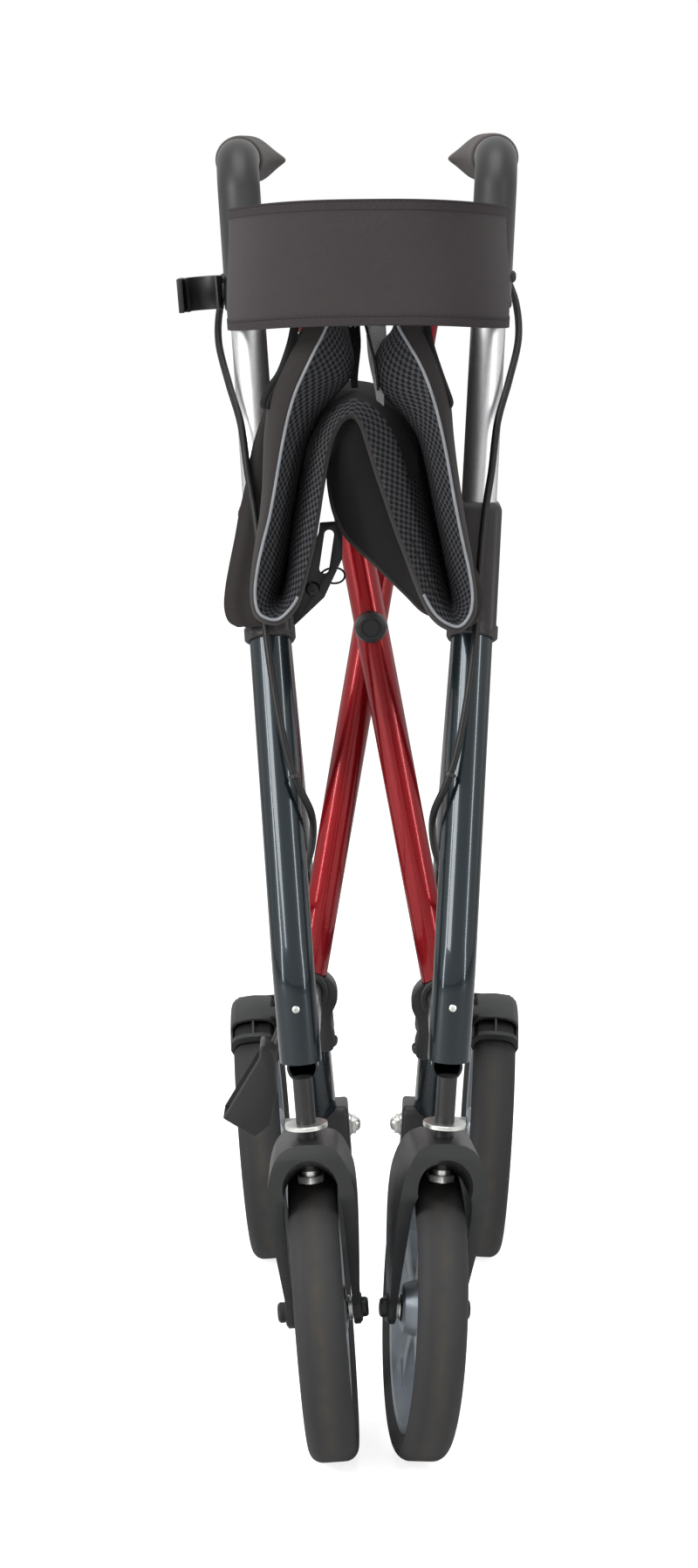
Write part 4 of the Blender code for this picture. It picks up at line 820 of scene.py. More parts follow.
CASING = moulding("casing_moulding", (0.0120, 0.0122, 0.0128), 0.44)
HOUSING = moulding("housing_moulding", (0.020, 0.0170, 0.0168), 0.50)
# Near-black moulding that is painted shade, for the floor of the fender's pocket
POCKET_SHADE_FINISH = moulding("painted_pocket_shade", (0.004, 0.004, 0.0042), 0.7)
TYRE = tyre_rubber()
STRAP_CLOTH = woven("strap_cloth", (0.035, 0.029, 0.030), 0.0013)
HEM_CLOTH = tape("hem_tape", (0.031, 0.026, 0.027))
BORDER = woven("border_cloth", (0.024, 0.0205, 0.0200), 0.0012)
UNDERSIDE = woven("underside_cloth", (0.0030, 0.0028, 0.0029), 0.0010, 0.00004)
MESH = spacer_mesh()
PIPING = piping()
WEBBING_GREY = woven("grey_webbing", (0.36, 0.36, 0.37), 0.0019, 0.00016)
TAB_CLOTH = woven("tab_cloth", (0.012, 0.012, 0.012), 0.0015, 0.00010)
WEBBING_STRIPED = striped("striped_webbing", (0.012, 0.012, 0.012), (0.42, 0.42, 0.43))
WEBBING_BLACK = woven("black_webbing", (0.018, 0.018, 0.019), 0.0019, 0.00016)


# Side frame


def down_tube():
    """The painted front tube, bent just above the caster head."""
    foot = Vector((0.0, HEAD_Y, FRAME_FOOT_Z))
    corner = Vector((0.0, HEAD_Y, BEND_Z))
    path = rounded_path([foot, corner, raked_point(FRAME_TOP_Z)], 0.070)
    obj = pipe("down_tube", path, FRAME_RADIUS, FRAME_WALL, 14)
    pair(obj, "down_tube", "frame", PAINT, "front_tube")


def leg_tube():
    """The painted rear leg."""
    obj = pipe("leg_tube", [LEG_TOP, LEG_FOOT], LEG_RADIUS, LEG_WALL, 14)
    pair(obj, "leg_tube", "frame", PAINT, "rear_leg")


def base_rail():
    """The painted lower rail between caster head and rear leg."""
    front = HEAD_Y + HEAD_RADIUS + 0.001
    back = leg_point(HINGE_Z).y - 0.006
    ends = [(0, front, HINGE_Z), (0, back, HINGE_Z)]
    obj = pipe("base_rail", ends, RAIL_RADIUS, RAIL_WALL, 12)
    pair(obj, "base_rail", "frame", PAINT, "lower_rail")


def junction_housing():
    """The moulded shell where the tubes meet, with a collar band at its foot."""
    socket_z = 0.527
    socket = leg_point(socket_z)
    across = Vector((0.0, -LEG_DOWN.z, LEG_DOWN.y)).normalized() * (LEG_RADIUS + 0.0028)
    reach = FRAME_RADIUS / math.cos(RAKE)
    behind = LEG_TOP + across
    outline = [
        (raked_y(HOUSING_FOOT_Z) - reach - 0.0022, HOUSING_FOOT_Z),
        (raked_y(HOUSING_FOOT_Z) + 0.016, HOUSING_FOOT_Z - 0.0050),
        (socket.y - across.y, socket.z - across.z), (socket.y + across.y, socket.z + across.z),
        (behind.y, behind.z + 0.004),
        (raked_y(HOUSING_TOP_Z) + reach + 0.0030, HOUSING_TOP_Z),
        (raked_y(HOUSING_TOP_Z) - reach - 0.0022, HOUSING_TOP_Z),
    ]
    obj = slab("junction_housing", outline, HOUSING_WIDTH, "yz")
    soften(obj, 0.0052, 5)
    band = lathe(
        "band",
        [
            (0.0, 0.0), (0.0152, 0.0), (0.0164, 0.0010), (0.0164, 0.0080), (0.0154, 0.0092),
            (0.0, 0.0092),
        ],
        40,
    )
    weld(obj, moved(band, aimed(RAKE_UP, raked_point(0.5285))))
    pin = raked_point(PIN_Z)
    weld(obj, rod("boss", 0.0065, 0.014, pin + RAKE_BACK * 0.023, RAKE_BACK))
    cut(obj, rod("bore", FRAME_RADIUS + SOCKET_GAP, 0.16, raked_point(socket_z), RAKE_UP, 40))
    cut(obj, rod("guide", HANDLE_RADIUS + FIT_GAP, 0.05, raked_point(HOUSING_TOP_Z), RAKE_UP, 40))
    below = leg_point(0.45)
    middle = (LEG_TOP - LEG_DOWN * 0.0006 + below) / 2
    length = (LEG_TOP - below).length + 0.0006
    cut(obj, rod("leg_socket", LEG_RADIUS + SOCKET_GAP, length, middle, LEG_DOWN, 40))
    cut(obj, rod("pin_hole", 0.0033, 0.045, pin + RAKE_BACK * 0.0225, RAKE_BACK, 20))
    for height in (0.548, 0.585):
        screw = raked_point(height) + Vector((HOUSING_WIDTH / 2, 0.0, 0.0))
        cut(obj, rod("recess", 0.0032, 0.0024, screw, (1, 0, 0), 24))
    pair(obj, "junction_housing", "frame", HOUSING, "tube_housing")


def slotted_guide():
    """The slotted plate inboard of the housing, with a cradle for the seat rail and a screw at its root."""
    reach = SEAT_RAIL_RADIUS + FIT_GAP + 0.0016 + 0.0006
    rail_x, rail_z = -0.02560, 0.59520
    cradle = arc((rail_x, rail_z), reach, 190, 350, 14)
    root = -HOUSING_WIDTH / 2 - FIT_GAP
    outline = [
        (root, 0.533),
        (root, min(rail_z, cradle[-1][1])),
        *reversed(cradle),
        (rail_x - reach - 0.0008, rail_z + 0.003), (-0.0485, rail_z + 0.003),
        (-0.0515, rail_z), (-0.0495, 0.574), (-0.036, 0.550),
    ]
    obj = slab("slotted_guide", outline, 0.0040, "xz", GUIDE_Y)
    slot = [*arc((-0.0423, 0.5902), 0.0031, 13, 193), *arc((-0.0373, 0.5682), 0.0031, 193, 373)]
    cut(obj, slab("slot", slot, 0.02, "xz", GUIDE_Y))
    soften(obj, 0.0006, 2)
    screw = lathe(
        "guide_screw",
        [
            (0.0, 0.0), (0.0048, 0.0), (0.0048, 0.0008), (0.0036, 0.0020), (0.0016, 0.0022),
            (0.0016, 0.0012), (0.0, 0.0012),
        ],
        28,
        along=(0, -1, 0),
    )
    moved(screw, at(-0.0290, GUIDE_Y - 0.0019, 0.5560))
    pair(obj, "slotted_guide", "frame", BLACK, "guide_bracket")
    pair(screw, "guide_screw", "frame", BLACK_STEEL)


def head_sleeve():
    """The sleeve round the tube's foot, highest in front, and the caster bearing's domed barrel."""
    low = 0.2254
    profile = [(0.0, 0.345), (0.0153, 0.345), (0.0158, 0.300), (0.0160, low), (0.0, low)]
    obj = lathe("head_sleeve", profile, 64)
    slope = math.radians(41.0)
    above = Vector((0.0, 0.04 * math.sin(slope), 0.3122 + 0.04 * math.cos(slope)))
    cut(obj, block("slant", (0.08, 0.08, 0.08), above, (-slope, 0.0, 0.0)))
    soften(obj, 0.0012, 3, 40)
    barrel = lathe(
        "barrel",
        [
            (0.0, 0.2720), (0.0045, 0.2714), (0.0090, 0.2694), (0.0125, 0.2660), (0.0149, 0.2612),
            (0.0161, 0.2550), (0.0164, 0.2480), (0.0166, low + 0.0008), (0.0160, low), (0.0, low),
        ],
        64,
    )
    weld(obj, moved(barrel, at(0, -0.0058, 0)))
    weld(obj, rod("rail_boss", 0.0135, 0.032, (0.0, 0.016, HINGE_Z), (0, 1, 0), 40))
    middle = (0, 0, FRAME_FOOT_Z - FIT_GAP + 0.055)
    cut(obj, rod("socket", FRAME_RADIUS + SOCKET_GAP, 0.110, middle, sides=48))
    cut(obj, rod("bearing", STEM_HOLE, 0.060, (0, 0, 0.2313), sides=24))
    middle = (0, 0.0373, HINGE_Z)
    cut(obj, rod("rail_socket", RAIL_RADIUS + SOCKET_GAP, 0.040, middle, (0, 1, 0), 32))
    screw_z = 0.3080
    cut(obj, rod("screw_recess", 0.0044, 0.0056, (0, -0.0160, screw_z), (0, 1, 0), 28))
    moved(obj, at(0, HEAD_Y, 0))
    pair(obj, "head_sleeve", "frame", SLEEVE, "caster_head", angle=30.0)
    screw = lathe(
        "sleeve_screw",
        [
            (0.0, 0.0), (0.0024, 0.0), (0.0023, 0.0006), (0.0016, 0.0012), (0.0009, 0.0013),
            (0.0008, 0.0004), (0.0, 0.0004),
        ],
        24,
        along=(0, -1, 0),
    )
    moved(screw, at(0, HEAD_Y - 0.0160 + 0.0030, screw_z))
    pair(screw, "sleeve_screw", "frame", ZINC)


def fork():
    """The moulded fork: a domed crown over an arch, and two legs that taper to the axle."""
    tip = FRONT_AXLE_Z - 0.0110
    top = FORK_TOP_Z - 0.0060
    arch = FORK_ARCH_Z
    outer_curve = smooth_path(
        [
            (0.0120, top - 0.0010), (0.0182, top - 0.0046), (0.0226, top - 0.0118),
            (0.0258, top - 0.0215), (0.0276, top - 0.0330), (0.0276, FRONT_AXLE_Z + 0.070),
            (0.0256, FRONT_AXLE_Z + 0.034), (0.0238, FRONT_AXLE_Z + 0.006), (0.0238, tip + 0.0030),
        ],
        5,
    )
    inner_curve = smooth_path(
        [
            (0.0190, tip + 0.0030), (0.0190, FRONT_AXLE_Z + 0.020), (0.0190, FRONT_AXLE_Z + 0.058),
            (0.0189, arch - 0.0260), (0.0180, arch - 0.0150), (0.0154, arch - 0.0072),
            (0.0110, arch - 0.0026), (0.0058, arch - 0.0008),
        ],
        4,
    )
    half = [
        (0.0, top), (0.0070, top - 0.0002),
        *outer_curve,
        (0.0229, tip + 0.0004), (0.0199, tip + 0.0004),
        *inner_curve,
        (0.0, arch),
    ]
    front = [*half, *[(-x, z) for x, z in reversed(half[1:-1])]]
    obj = slab("fork", front, 0.120, "xz", 0.020)
    side = smooth_path(
        [
            (-0.0190, top + 0.004), (-0.0250, top - 0.0110), (-0.0245, arch - 0.0080),
            (-0.0160, FRONT_AXLE_Z + 0.078), (0.0100, FRONT_AXLE_Z + 0.034),
            (0.0265, FRONT_AXLE_Z + 0.004),
        ],
        5,
    )
    back = smooth_path(
        [
            (0.0470, FRONT_AXLE_Z + 0.006), (0.0475, FRONT_AXLE_Z + 0.040),
            (0.0420, FRONT_AXLE_Z + 0.075), (0.0360, arch - 0.0060), (0.0305, top - 0.0110),
            (0.0200, top + 0.004),
        ],
        5,
    )
    foot = arc((TRAIL, FRONT_AXLE_Z), 0.0108, 200, 355, 14)
    profile = [*side, *foot, *back]
    combine(obj, slab("side_view", profile, 0.080, "yz"), "INTERSECT")
    slope = math.radians(24.0)
    tilt = Vector((0.0, -math.cos(slope), math.sin(slope)))
    lip = Vector((0.0, 0.004, arch - 0.0170)) + tilt * 0.040
    cut(obj, rod("lip", 0.0174, 0.080, lip, tilt, 48))
    soften(obj, 0.0026, 4, 38)
    cut(obj, rod("stem_hole", STEM_HOLE, 0.080, (0, 0, top), sides=32))
    cut(obj, rod("axle_hole", BOLT_HOLE, 0.080, (0, TRAIL, FRONT_AXLE_Z), (1, 0, 0), 28))
    for sign in (-1.0, 1.0):
        ring = lathe(
            "ring",
            [
                (0.0044, 0.0), (0.0094, 0.0), (0.0094, 0.0007), (0.0086, 0.0012), (0.0044, 0.0012),
            ],
            36,
            closed=True,
            along=(sign, 0, 0),
        )
        weld(obj, moved(ring, at(sign * 0.0236, TRAIL, FRONT_AXLE_Z)))
    pair(obj, "fork", "caster", FORK, "caster_fork", SWIVEL, angle=40.0)


def stem():
    """The stem with its bearing ring, and the hexagon nut under the arch."""
    low = FORK_ARCH_Z - 0.0053
    obj = lathe(
        "stem",
        [
            (0.0, 0.2610), (0.0050, 0.2610), (0.0060, 0.2600), (0.0060, 0.2317), (0.0132, 0.2317),
            (0.0135, 0.2314), (0.0135, 0.2290), (0.0060, 0.2288), (0.0060, low),
            (0.0052, low - 0.0008), (0.0, low - 0.0008),
        ],
        36,
    )
    nut = rod("nut", 0.0094, 0.0046, (0, 0, FORK_ARCH_Z - FIT_GAP - 0.0023), sides=6)
    weld(obj, soften(nut, 0.0006, 2))
    pair(obj, "stem", "caster", ZINC, "stem_bolt", SWIVEL)


def wheels():
    """Tyres and spoked hubs, front and rear."""
    half = 0.016
    round_off = 0.009
    inside = 0.0808
    shoulder = arc((TREAD_RADIUS - round_off, half - round_off), round_off, 8, 80, 6)
    profile = [
        (inside, -half + 0.0040),
        *[(radius, -height) for radius, height in reversed(shoulder)],
        (TREAD_RADIUS, -0.0045), (TREAD_RADIUS, 0.0), (TREAD_RADIUS, 0.0045),
        *shoulder,
        (inside, half - 0.0040), (inside, 0.0),
    ]
    tyre = lathe("tyre", profile, 96, closed=True, along=(1, 0, 0))
    values = [
        1.0 - smoothstep(abs(vertex.co.x), 0.0015, 0.0100) if vertex.co.yz.length > 0.094 else 0.0
        for vertex in tyre.data.vertices
    ]
    attribute = tyre.data.attributes.new("tread", "FLOAT", "POINT")
    attribute.data.foreach_set("value", values)
    hub = lathe(
        "hub",
        [
            (0.0806, -0.0118), (0.0806, 0.0118), (0.0785, 0.0124), (0.0745, 0.0118),
            (0.0730, 0.0080), (0.0722, 0.0), (0.0730, -0.0080), (0.0745, -0.0118),
            (0.0785, -0.0124),
        ],
        96,
        closed=True,
        along=(1, 0, 0),
    )
    boss = lathe(
        "boss",
        [
            (0.0, 0.0150), (0.0125, 0.0150), (0.0155, 0.0138), (0.0185, 0.0060), (0.0190, 0.0),
            (0.0185, -0.0060), (0.0155, -0.0138), (0.0125, -0.0150), (0.0, -0.0150),
        ],
        60,
        along=(1, 0, 0),
    )
    weld(hub, boss)
    for spoke in range(SPOKES):
        edge = [(-0.0105, 0.0120), (-0.0068, 0.030), (-0.0068, 0.055), (-0.0130, 0.0752)]
        left = smooth_path(edge, 4)
        right = [(-y, z) for y, z in reversed(left)]
        arm = soften(slab("arm", left + right, 0.0120, "yz"), 0.0024, 3)
        weld(hub, moved(arm, about("X", 360.0 / SPOKES * spoke)))
    cut(hub, rod("bore", BOLT_HOLE, 0.06, (0, 0, 0), (1, 0, 0), 32))
    cut(hub, rod("seat", 0.0090, 0.004, (-0.0150, 0, 0), (1, 0, 0), 32))
    for place, axles in (("front", FRONT_AXLE), ("rear", REAR_AXLE)):
        for model, name, slot, finish, node in (
            (tyre, f"{place}_tread", "tyre", TYRE, f"{place}_tyre"),
            (hub, f"{place}_wheel_hub", "hub_moulding", HUB, f"{place}_hub"),
        ):
            copy = linked(name, model.data.copy())
            pair(copy, name, f"{place}_wheel", finish, node, axles, 30.0)
    bpy.data.objects.remove(tyre, do_unlink=True)
    bpy.data.objects.remove(hub, do_unlink=True)


def front_axle():
    """A black socket-head bolt with its nut, and zinc washers between fork and hub."""
    obj = lathe(
        "axle_bolt",
        [
            (0.0, 0.0268), (0.0028, 0.0268), (0.0028, 0.0288), (0.0052, 0.0288), (0.0064, 0.0276),
            (0.0066, 0.0250), (0.0066, 0.0244), (0.0040, 0.0244), (0.0040, -0.0244),
            (0.0066, -0.0244), (0.0068, -0.0282), (0.0056, -0.0296), (0.0040, -0.0300),
            (0.0, -0.0300),
        ],
        28,
        along=(-1, 0, 0),
    )
    pair(obj, "axle_bolt", "caster", BLACK_STEEL, "front_axle", FRONT_AXLE)
    for label, sign in (("outer", 1.0), ("inner", -1.0)):
        stack = lathe(
            "washer_stack",
            [
                (0.0042, 0.0159), (0.0080, 0.0159), (0.0082, 0.0162), (0.0080, 0.0170),
                (0.0064, 0.0171), (0.0064, 0.0175), (0.0072, 0.0176), (0.0072, 0.0186),
                (0.0042, 0.0186),
            ],
            32,
            closed=True,
            along=(sign, 0, 0),
        )
        pair(stack, f"{label}_washers", "caster", ZINC, None, FRONT_AXLE)


def rear_axle():
    """The zinc bolt with its spacer, and the domed cap nut on the lug's inner side."""
    face = 0.0158
    start = -0.0145 - FIT_GAP - REAR_TRACK
    obj = lathe(
        "wheel_bolt",
        [
            (0.0, face + 0.0022), (0.0030, face + 0.0022), (0.0030, face + 0.0040),
            (0.0070, face + 0.0038), (0.0085, face + 0.0022), (0.0085, face),
            (0.0040, face), (0.0040, -face), (0.0080, -face), (0.0080, -0.0330),
            (0.0040, -0.0330), (0.0040, start), (0.0086, start), (0.0086, start - 0.0012),
            (0.0058, start - 0.0013), (0.0058, start - 0.0050), (0.0044, start - 0.0074),
            (0.0022, start - 0.0084), (0.0, start - 0.0086),
        ],
        36,
        along=(1, 0, 0),
    )
    nut = rod("nut", 0.0078, 0.0036, (start - 0.0028, 0, 0), (1, 0, 0), 6)
    weld(obj, soften(nut, 0.0005, 2))
    pair(obj, "wheel_bolt", "frame", ZINC, "rear_axle", REAR_AXLE)


def axle_block():
    """The moulded block round the leg's foot."""
    low = REAR_AXLE_Z - 0.0265
    high = REAR_AXLE_Z + 0.0185
    outline = [
        *arc((REAR_AXLE_Y - 0.013, high - 0.007), 0.007, 180, 90, 6),
        *arc((REAR_AXLE_Y + 0.013, high - 0.007), 0.007, 90, 0, 6),
        *arc((REAR_AXLE_Y + 0.012, low + 0.008), 0.008, 0, -90, 6),
        *arc((REAR_AXLE_Y - 0.012, low + 0.008), 0.008, -90, -180, 6),
    ]
    obj = slab("axle_block", outline, 0.018, "yz", -0.0055)
    soften(obj, 0.0024, 3, 40)
    cut(obj, rod("groove", LEG_RADIUS + SOCKET_GAP, 0.12, leg_point(0.105), LEG_DOWN, 40))
    cut(obj, rod("axle_hole", BOLT_HOLE, 0.08, (0, REAR_AXLE_Y, REAR_AXLE_Z), (1, 0, 0), 28))
    pair(obj, "axle_block", "frame", BLACK, "axle_lug")


def swept(name, section, start, end, steps):
    """A closed section of (x, reach) swept about the rear axle between two angles."""
    angle = math.radians(start)
    points = [(x, -reach * math.cos(angle), reach * math.sin(angle)) for x, reach in section]
    obj = chain(name, points, closed=True)
    bpy.ops.mesh.edge_face_add()
    sweep = math.radians(end - start)
    bpy.ops.mesh.spin(steps=steps, angle=sweep, center=(0, 0, 0), axis=(1, 0, 0))
    return moved(outward(obj, 0.000002), at(REAR_TRACK, REAR_AXLE_Y, REAR_AXLE_Z))


def fender():
    """A crowned hood over the wheel, with an open ribbed pocket and a lip at its front."""
    crown = [
        (-1.0, -0.0140), (-0.975, -0.0092), (-0.90, -0.0052), (-0.74, -0.0022), (-0.40, -0.0005),
        (0.0, 0.0),
    ]
    crown += [(-x, drop) for x, drop in reversed(crown[:-1])]
    half = 0.018

    def shell(top, bottom, wide):
        """A crowned section between two reaches."""
        section = [(x * wide, top + drop) for x, drop in crown]
        return section + [(-x * (wide - 0.0018), bottom + drop) for x, drop in crown]

    obj = swept("hood", shell(0.1076, 0.1050, half), 66.0, 88.0, 12)
    soften(obj, 0.0008, 2, 45)
    # A near-black sheet under the hood is painted shade: it stands for the dark inside of the pocket over
    # the tyre
    dark_shade_sheet = swept("fender_shade_sheet", shell(0.1014, 0.1004, half - 0.0012), 57.0, 87.0, 12)
    pair(dark_shade_sheet, "fender_shade_sheet", "frame", POCKET_SHADE_FINISH, angle=30.0)
    weld(obj, swept("lip", shell(0.1066, 0.1010, half - 0.0002), 56.0, 58.0, 2))
    weld(obj, swept("back_wall", shell(0.1070, 0.1012, half - 0.0004), 84.5, 87.0, 2))
    for x in (-half + 0.0013, 0.0, half - 0.0013):
        drop = 0.0080 if x else 0.0
        rib = [
            (x - 0.0008, 0.1015 - drop), (x - 0.0008, 0.1060 - drop), (x + 0.0008, 0.1060 - drop),
            (x + 0.0008, 0.1015 - drop),
        ]
        weld(obj, swept("rib", rib, 57.0, 80.0, 10))
    place = (0.0306, *FENDER_BOSS.yz)
    boss = block("boss", (0.0170, 0.014, 0.007), place, (math.radians(18.0), 0, 0))
    weld(obj, soften(boss, 0.0010, 2))
    pair(obj, "fender_hood", "frame", FENDER, "fender", angle=30.0)


def brake_plate():
    """The bracket on the leg, with the cable's stop and the arm's pin."""
    boss = FENDER_BOSS
    outline = [
        (0.136, 0.205), (0.150, 0.226), (0.1912, 0.236), (0.1912, 0.252), (0.204, 0.252),
        (0.215, 0.232),
        *arc(BRAKE_PIVOT.yz, 0.0090, 70, -110, 14),
        (boss.y + 0.030, boss.z - 0.008), (boss.y, boss.z - 0.012), (0.165, 0.172), (0.146, 0.188),
    ]
    obj = slab("brake_plate", outline, 0.004, "yz", BRAKE_PLATE_X)
    soften(obj, 0.0008, 2)
    middle = leg_point(0.205)
    collar = rod("collar", 0.0160, 0.022, middle, LEG_DOWN, 40)
    weld(obj, soften(collar, 0.0012, 2))
    cut(obj, rod("bore", LEG_RADIUS + SOCKET_GAP, 0.08, middle, LEG_DOWN, 40))
    stop = block("stop", (0.009, 0.014, 0.010), (BRAKE_PLATE_X, 0.198, 0.2435))
    weld(obj, soften(stop, 0.0012, 2))
    weld(obj, rod("pin", 0.0035, 0.0093, (0.0249, *BRAKE_PIVOT.yz), (1, 0, 0), 24))
    pair(obj, "brake_plate", "frame", BLACK, "brake_bracket")


def brake_shoe():
    """The arm on the bracket's pin and the thin curved shoe across the tyre."""
    shoe = on_wheel(0.0995 + 0.0045, 101.0) - BRAKE_PIVOT
    horn = on_wheel(0.026, BRAKE_ANGLE + 11.46) - Vector((0, REAR_AXLE_Y, REAR_AXLE_Z))
    outline = [
        *arc((0.0, 0.0), 0.0080, -60, 30, 8),
        (horn.y + 0.004, horn.z), (horn.y - 0.004, horn.z + 0.002), (-0.008, 0.006),
        (shoe.y + 0.004, shoe.z + 0.001), (shoe.y - 0.007, shoe.z),
        (shoe.y - 0.006, shoe.z - 0.004), (shoe.y + 0.007, shoe.z - 0.0025), (-0.007, -0.006),
    ]
    obj = slab("brake_shoe", outline, 0.005, "yz", 0.0255)
    soften(obj, 0.0007, 2)
    pad_at = (0.04425, shoe.y - 0.0004, shoe.z - 0.0026)
    pad = block("pad", (0.0375, 0.016, 0.0034), pad_at, (math.radians(-11.0), 0, 0))
    weld(obj, soften(pad, 0.0010, 2))
    cut(obj, rod("hole", 0.0038, 0.030, (0.0255, 0, 0), (1, 0, 0), 24))
    moved(obj, Matrix.Translation(BRAKE_PIVOT))
    pair(obj, "brake_shoe", "brake", BLACK_STEEL, "brake_arm")


# Handle


def handle_line(foot_z, end_y):
    """The bent line of the handle tube, from a height up to how far back it ends."""
    end = (0.0, end_y, HANDLE_Z)
    return rounded_path([raked_point(foot_z), raked_point(HANDLE_Z), end], HANDLE_BEND)


def slide_tube():
    """The bright tube with its row of height holes at the back."""
    path = handle_line(HANDLE_FOOT_Z, HANDLE_END_Y)
    obj = pipe("slide_tube", path, HANDLE_RADIUS, HANDLE_WALL, 14)
    for step in range(6):
        place = raked_point(0.534 + 0.020 * step) + RAKE_BACK * 0.011
        cut(obj, rod("height_hole", 0.0031, 0.008, place, RAKE_BACK, 20))
    pair(obj, "slide_tube", "handle", BRIGHT, "handle_tube")


def elbow():
    """The moulded casing over the handle's bend, with the lever's lug under it."""
    obj = bar("elbow", handle_line(CASING_FOOT_Z, CASING_END_Y), CASING_RADIUS, 14)
    soften(obj, 0.0010, 2, 60)
    lug = block("lug", (0.010, 0.0185, 0.032), LEVER_PIVOT + Vector((0.0, 0.0, 0.008)))
    weld(obj, soften(lug, 0.0030, 3))
    foot = lathe(
        "foot_ring",
        [
            (0.0, 0.0), (0.0141, 0.0), (0.0146, 0.0006), (0.0146, 0.0050), (0.0139, 0.0062),
            (0.0, 0.0062),
        ],
        48,
    )
    weld(obj, moved(foot, aimed(RAKE_UP, raked_point(CASING_FOOT_Z))))
    path = handle_line(CASING_FOOT_Z - 0.01, CASING_END_Y + 0.01)
    cut(obj, bar("bore", path, HANDLE_RADIUS + SOCKET_GAP, 10))
    cut(obj, rod("pin_hole", 0.0028, 0.040, LEVER_PIVOT, (1, 0, 0), 24))
    pair(obj, "elbow", "handle", CASING, "handle_casing")
    bolt = lathe(
        "elbow_bolt",
        [
            (0.0, 0.0026), (0.0022, 0.0024), (0.0036, 0.0014), (0.0040, 0.0), (0.0040, -0.0010),
            (0.0, -0.0010),
        ],
        24,
        along=(1, 0, 0),
    )
    bolt_z = 0.7560
    moved(bolt, at(CASING_RADIUS, raked_y(bolt_z), bolt_z))
    pair(bolt, "elbow_bolt", "handle", BLACK_STEEL)


def hand_grip():
    """The hand grip: it widens towards its end into a palm rest with a ridge on its inner side.

    Each section has its place y and x, half its width and height, and how far the ridge is drawn in.
    """
    sections = [
        (-0.0196, 0.0, 0.0150, 0.0150, 0.0), (-0.0180, 0.0, 0.0160, 0.0160, 0.0),
        (-0.0050, 0.0, 0.0164, 0.0162, 0.0), (0.0200, 0.0, 0.0172, 0.0165, 0.05),
        (0.0600, -0.0012, 0.0190, 0.0166, 0.30), (0.0850, -0.0040, 0.0226, 0.0164, 0.65),
        (0.1020, -0.0052, 0.0242, 0.0160, 0.85), (0.1180, -0.0046, 0.0234, 0.0150, 0.85),
        (0.1270, -0.0042, 0.0194, 0.0118, 0.7), (0.1312, -0.0036, 0.0124, 0.0070, 0.5),
        (0.1325, -0.0035, 0.0050, 0.0030, 0.3),
    ]
    deselect()
    bpy.ops.mesh.primitive_circle_add(vertices=32, radius=1.0, fill_type="NGON")
    obj = named("hand_grip")
    moved(obj, aimed((0, -1, 0)))
    bpy.ops.object.mode_set(mode="EDIT")
    bpy.ops.mesh.select_all(action="SELECT")
    y, x, wide, tall = sections[0][:4]
    bpy.ops.transform.resize(value=(wide, 1.0, tall), center_override=(0, 0, 0))
    bpy.ops.transform.translate(value=(x, y, HANDLE_Z))
    for before, after in zip(sections, sections[1:]):
        onward = (after[1] - before[1], after[0] - before[0], 0.0)
        bpy.ops.mesh.extrude_region_move(TRANSFORM_OT_translate={"value": onward})
        bpy.ops.transform.resize(
            value=(after[2] / before[2], 1.0, after[3] / before[3]),
            center_override=(after[1], after[0], HANDLE_Z),
        )
    outward(obj)
    for vertex in obj.data.vertices:
        place = vertex.co
        for near, far in zip(sections, sections[1:]):
            if near[0] - 0.00001 <= place.y <= far[0] + 0.00001:
                share = (place.y - near[0]) / (far[0] - near[0])
                middle = near[1] + (far[1] - near[1]) * share
                wide = near[2] + (far[2] - near[2]) * share
                ridge = near[4] + (far[4] - near[4]) * share
        inner = max(0.0, (middle - place.x) / wide)
        squeeze = 1.0 - ridge * 0.74 * smoothstep(inner, 0.15, 1.0)
        place.z = HANDLE_Z - 0.0030 * ridge * inner + (place.z - HANDLE_Z) * squeeze
    modify(obj, "SUBSURF", levels=1, render_levels=1)
    for step in range(9):
        for height in (-0.0168, 0.0168):
            place = (0.0, 0.012 + 0.0085 * step, HANDLE_Z + height)
            cut(obj, rod("groove", 0.0009, 0.018, place, (1, 0, 0), 12))
    end = HANDLE_END_Y + FIT_GAP
    length = end + 0.040
    cut(obj, rod("bore", 0.0120, length, (0.0, end - length / 2, HANDLE_Z), (0, 1, 0), 32))
    pair(obj, "hand_grip", "handle", GRIP, "grip", angle=45.0)


def hand_lever():
    """The lever's fork round the casing's lug, and its bar under the grip."""
    under_grip = HANDLE_Z - 0.0165
    radius = 0.0050
    bar_z = under_grip - 0.025 - radius - LEVER_PIVOT.z
    path = smooth_path(
        [
            (0.0, 0.016, -0.008), (0.0, 0.036, bar_z + 0.006), (0.0, 0.060, bar_z),
            (0.0, 0.090, bar_z - 0.002), (-0.004, 0.118, bar_z),
        ],
        6,
    )
    obj = bar("hand_lever", path, radius, 8)
    soften(obj, 0.0016, 3, 60)
    for place, size in (
        ((0.0, 0.020, -0.007), (0.0168, 0.010, 0.014)),
        ((0.0069, 0.008, -0.003), (0.003, 0.032, 0.013)),
        ((-0.0069, 0.008, -0.003), (0.003, 0.032, 0.013)),
    ):
        weld(obj, soften(block("cheek", size, place), 0.0010, 2))
    weld(obj, rod("pin", 0.0025, 0.0138, (0, 0, 0), (1, 0, 0), 20))
    moved(obj, Matrix.Translation(LEVER_PIVOT))
    pair(obj, "hand_lever", "lever", BLACK, "brake_lever")


def spring_pin():
    """The height pin with its ribbed knob."""
    neck = 0.0303
    end = neck + 0.009
    obj = lathe(
        "spring_pin",
        [
            (0.0, end), (0.0050, end - 0.0001), (0.0068, end - 0.0010), (0.0075, end - 0.0022),
            (0.0068, end - 0.0032), (0.0075, end - 0.0042), (0.0068, end - 0.0052),
            (0.0075, end - 0.0062), (0.0075, neck + 0.0004), (0.0071, neck), (0.0030, neck),
            (0.0030, 0.0122), (0.0, 0.0122),
        ],
        28,
    )
    moved(obj, aimed(RAKE_BACK, raked_point(PIN_Z)))
    pair(obj, "spring_pin", "height_pin", BLACK_STEEL, "height_pin")


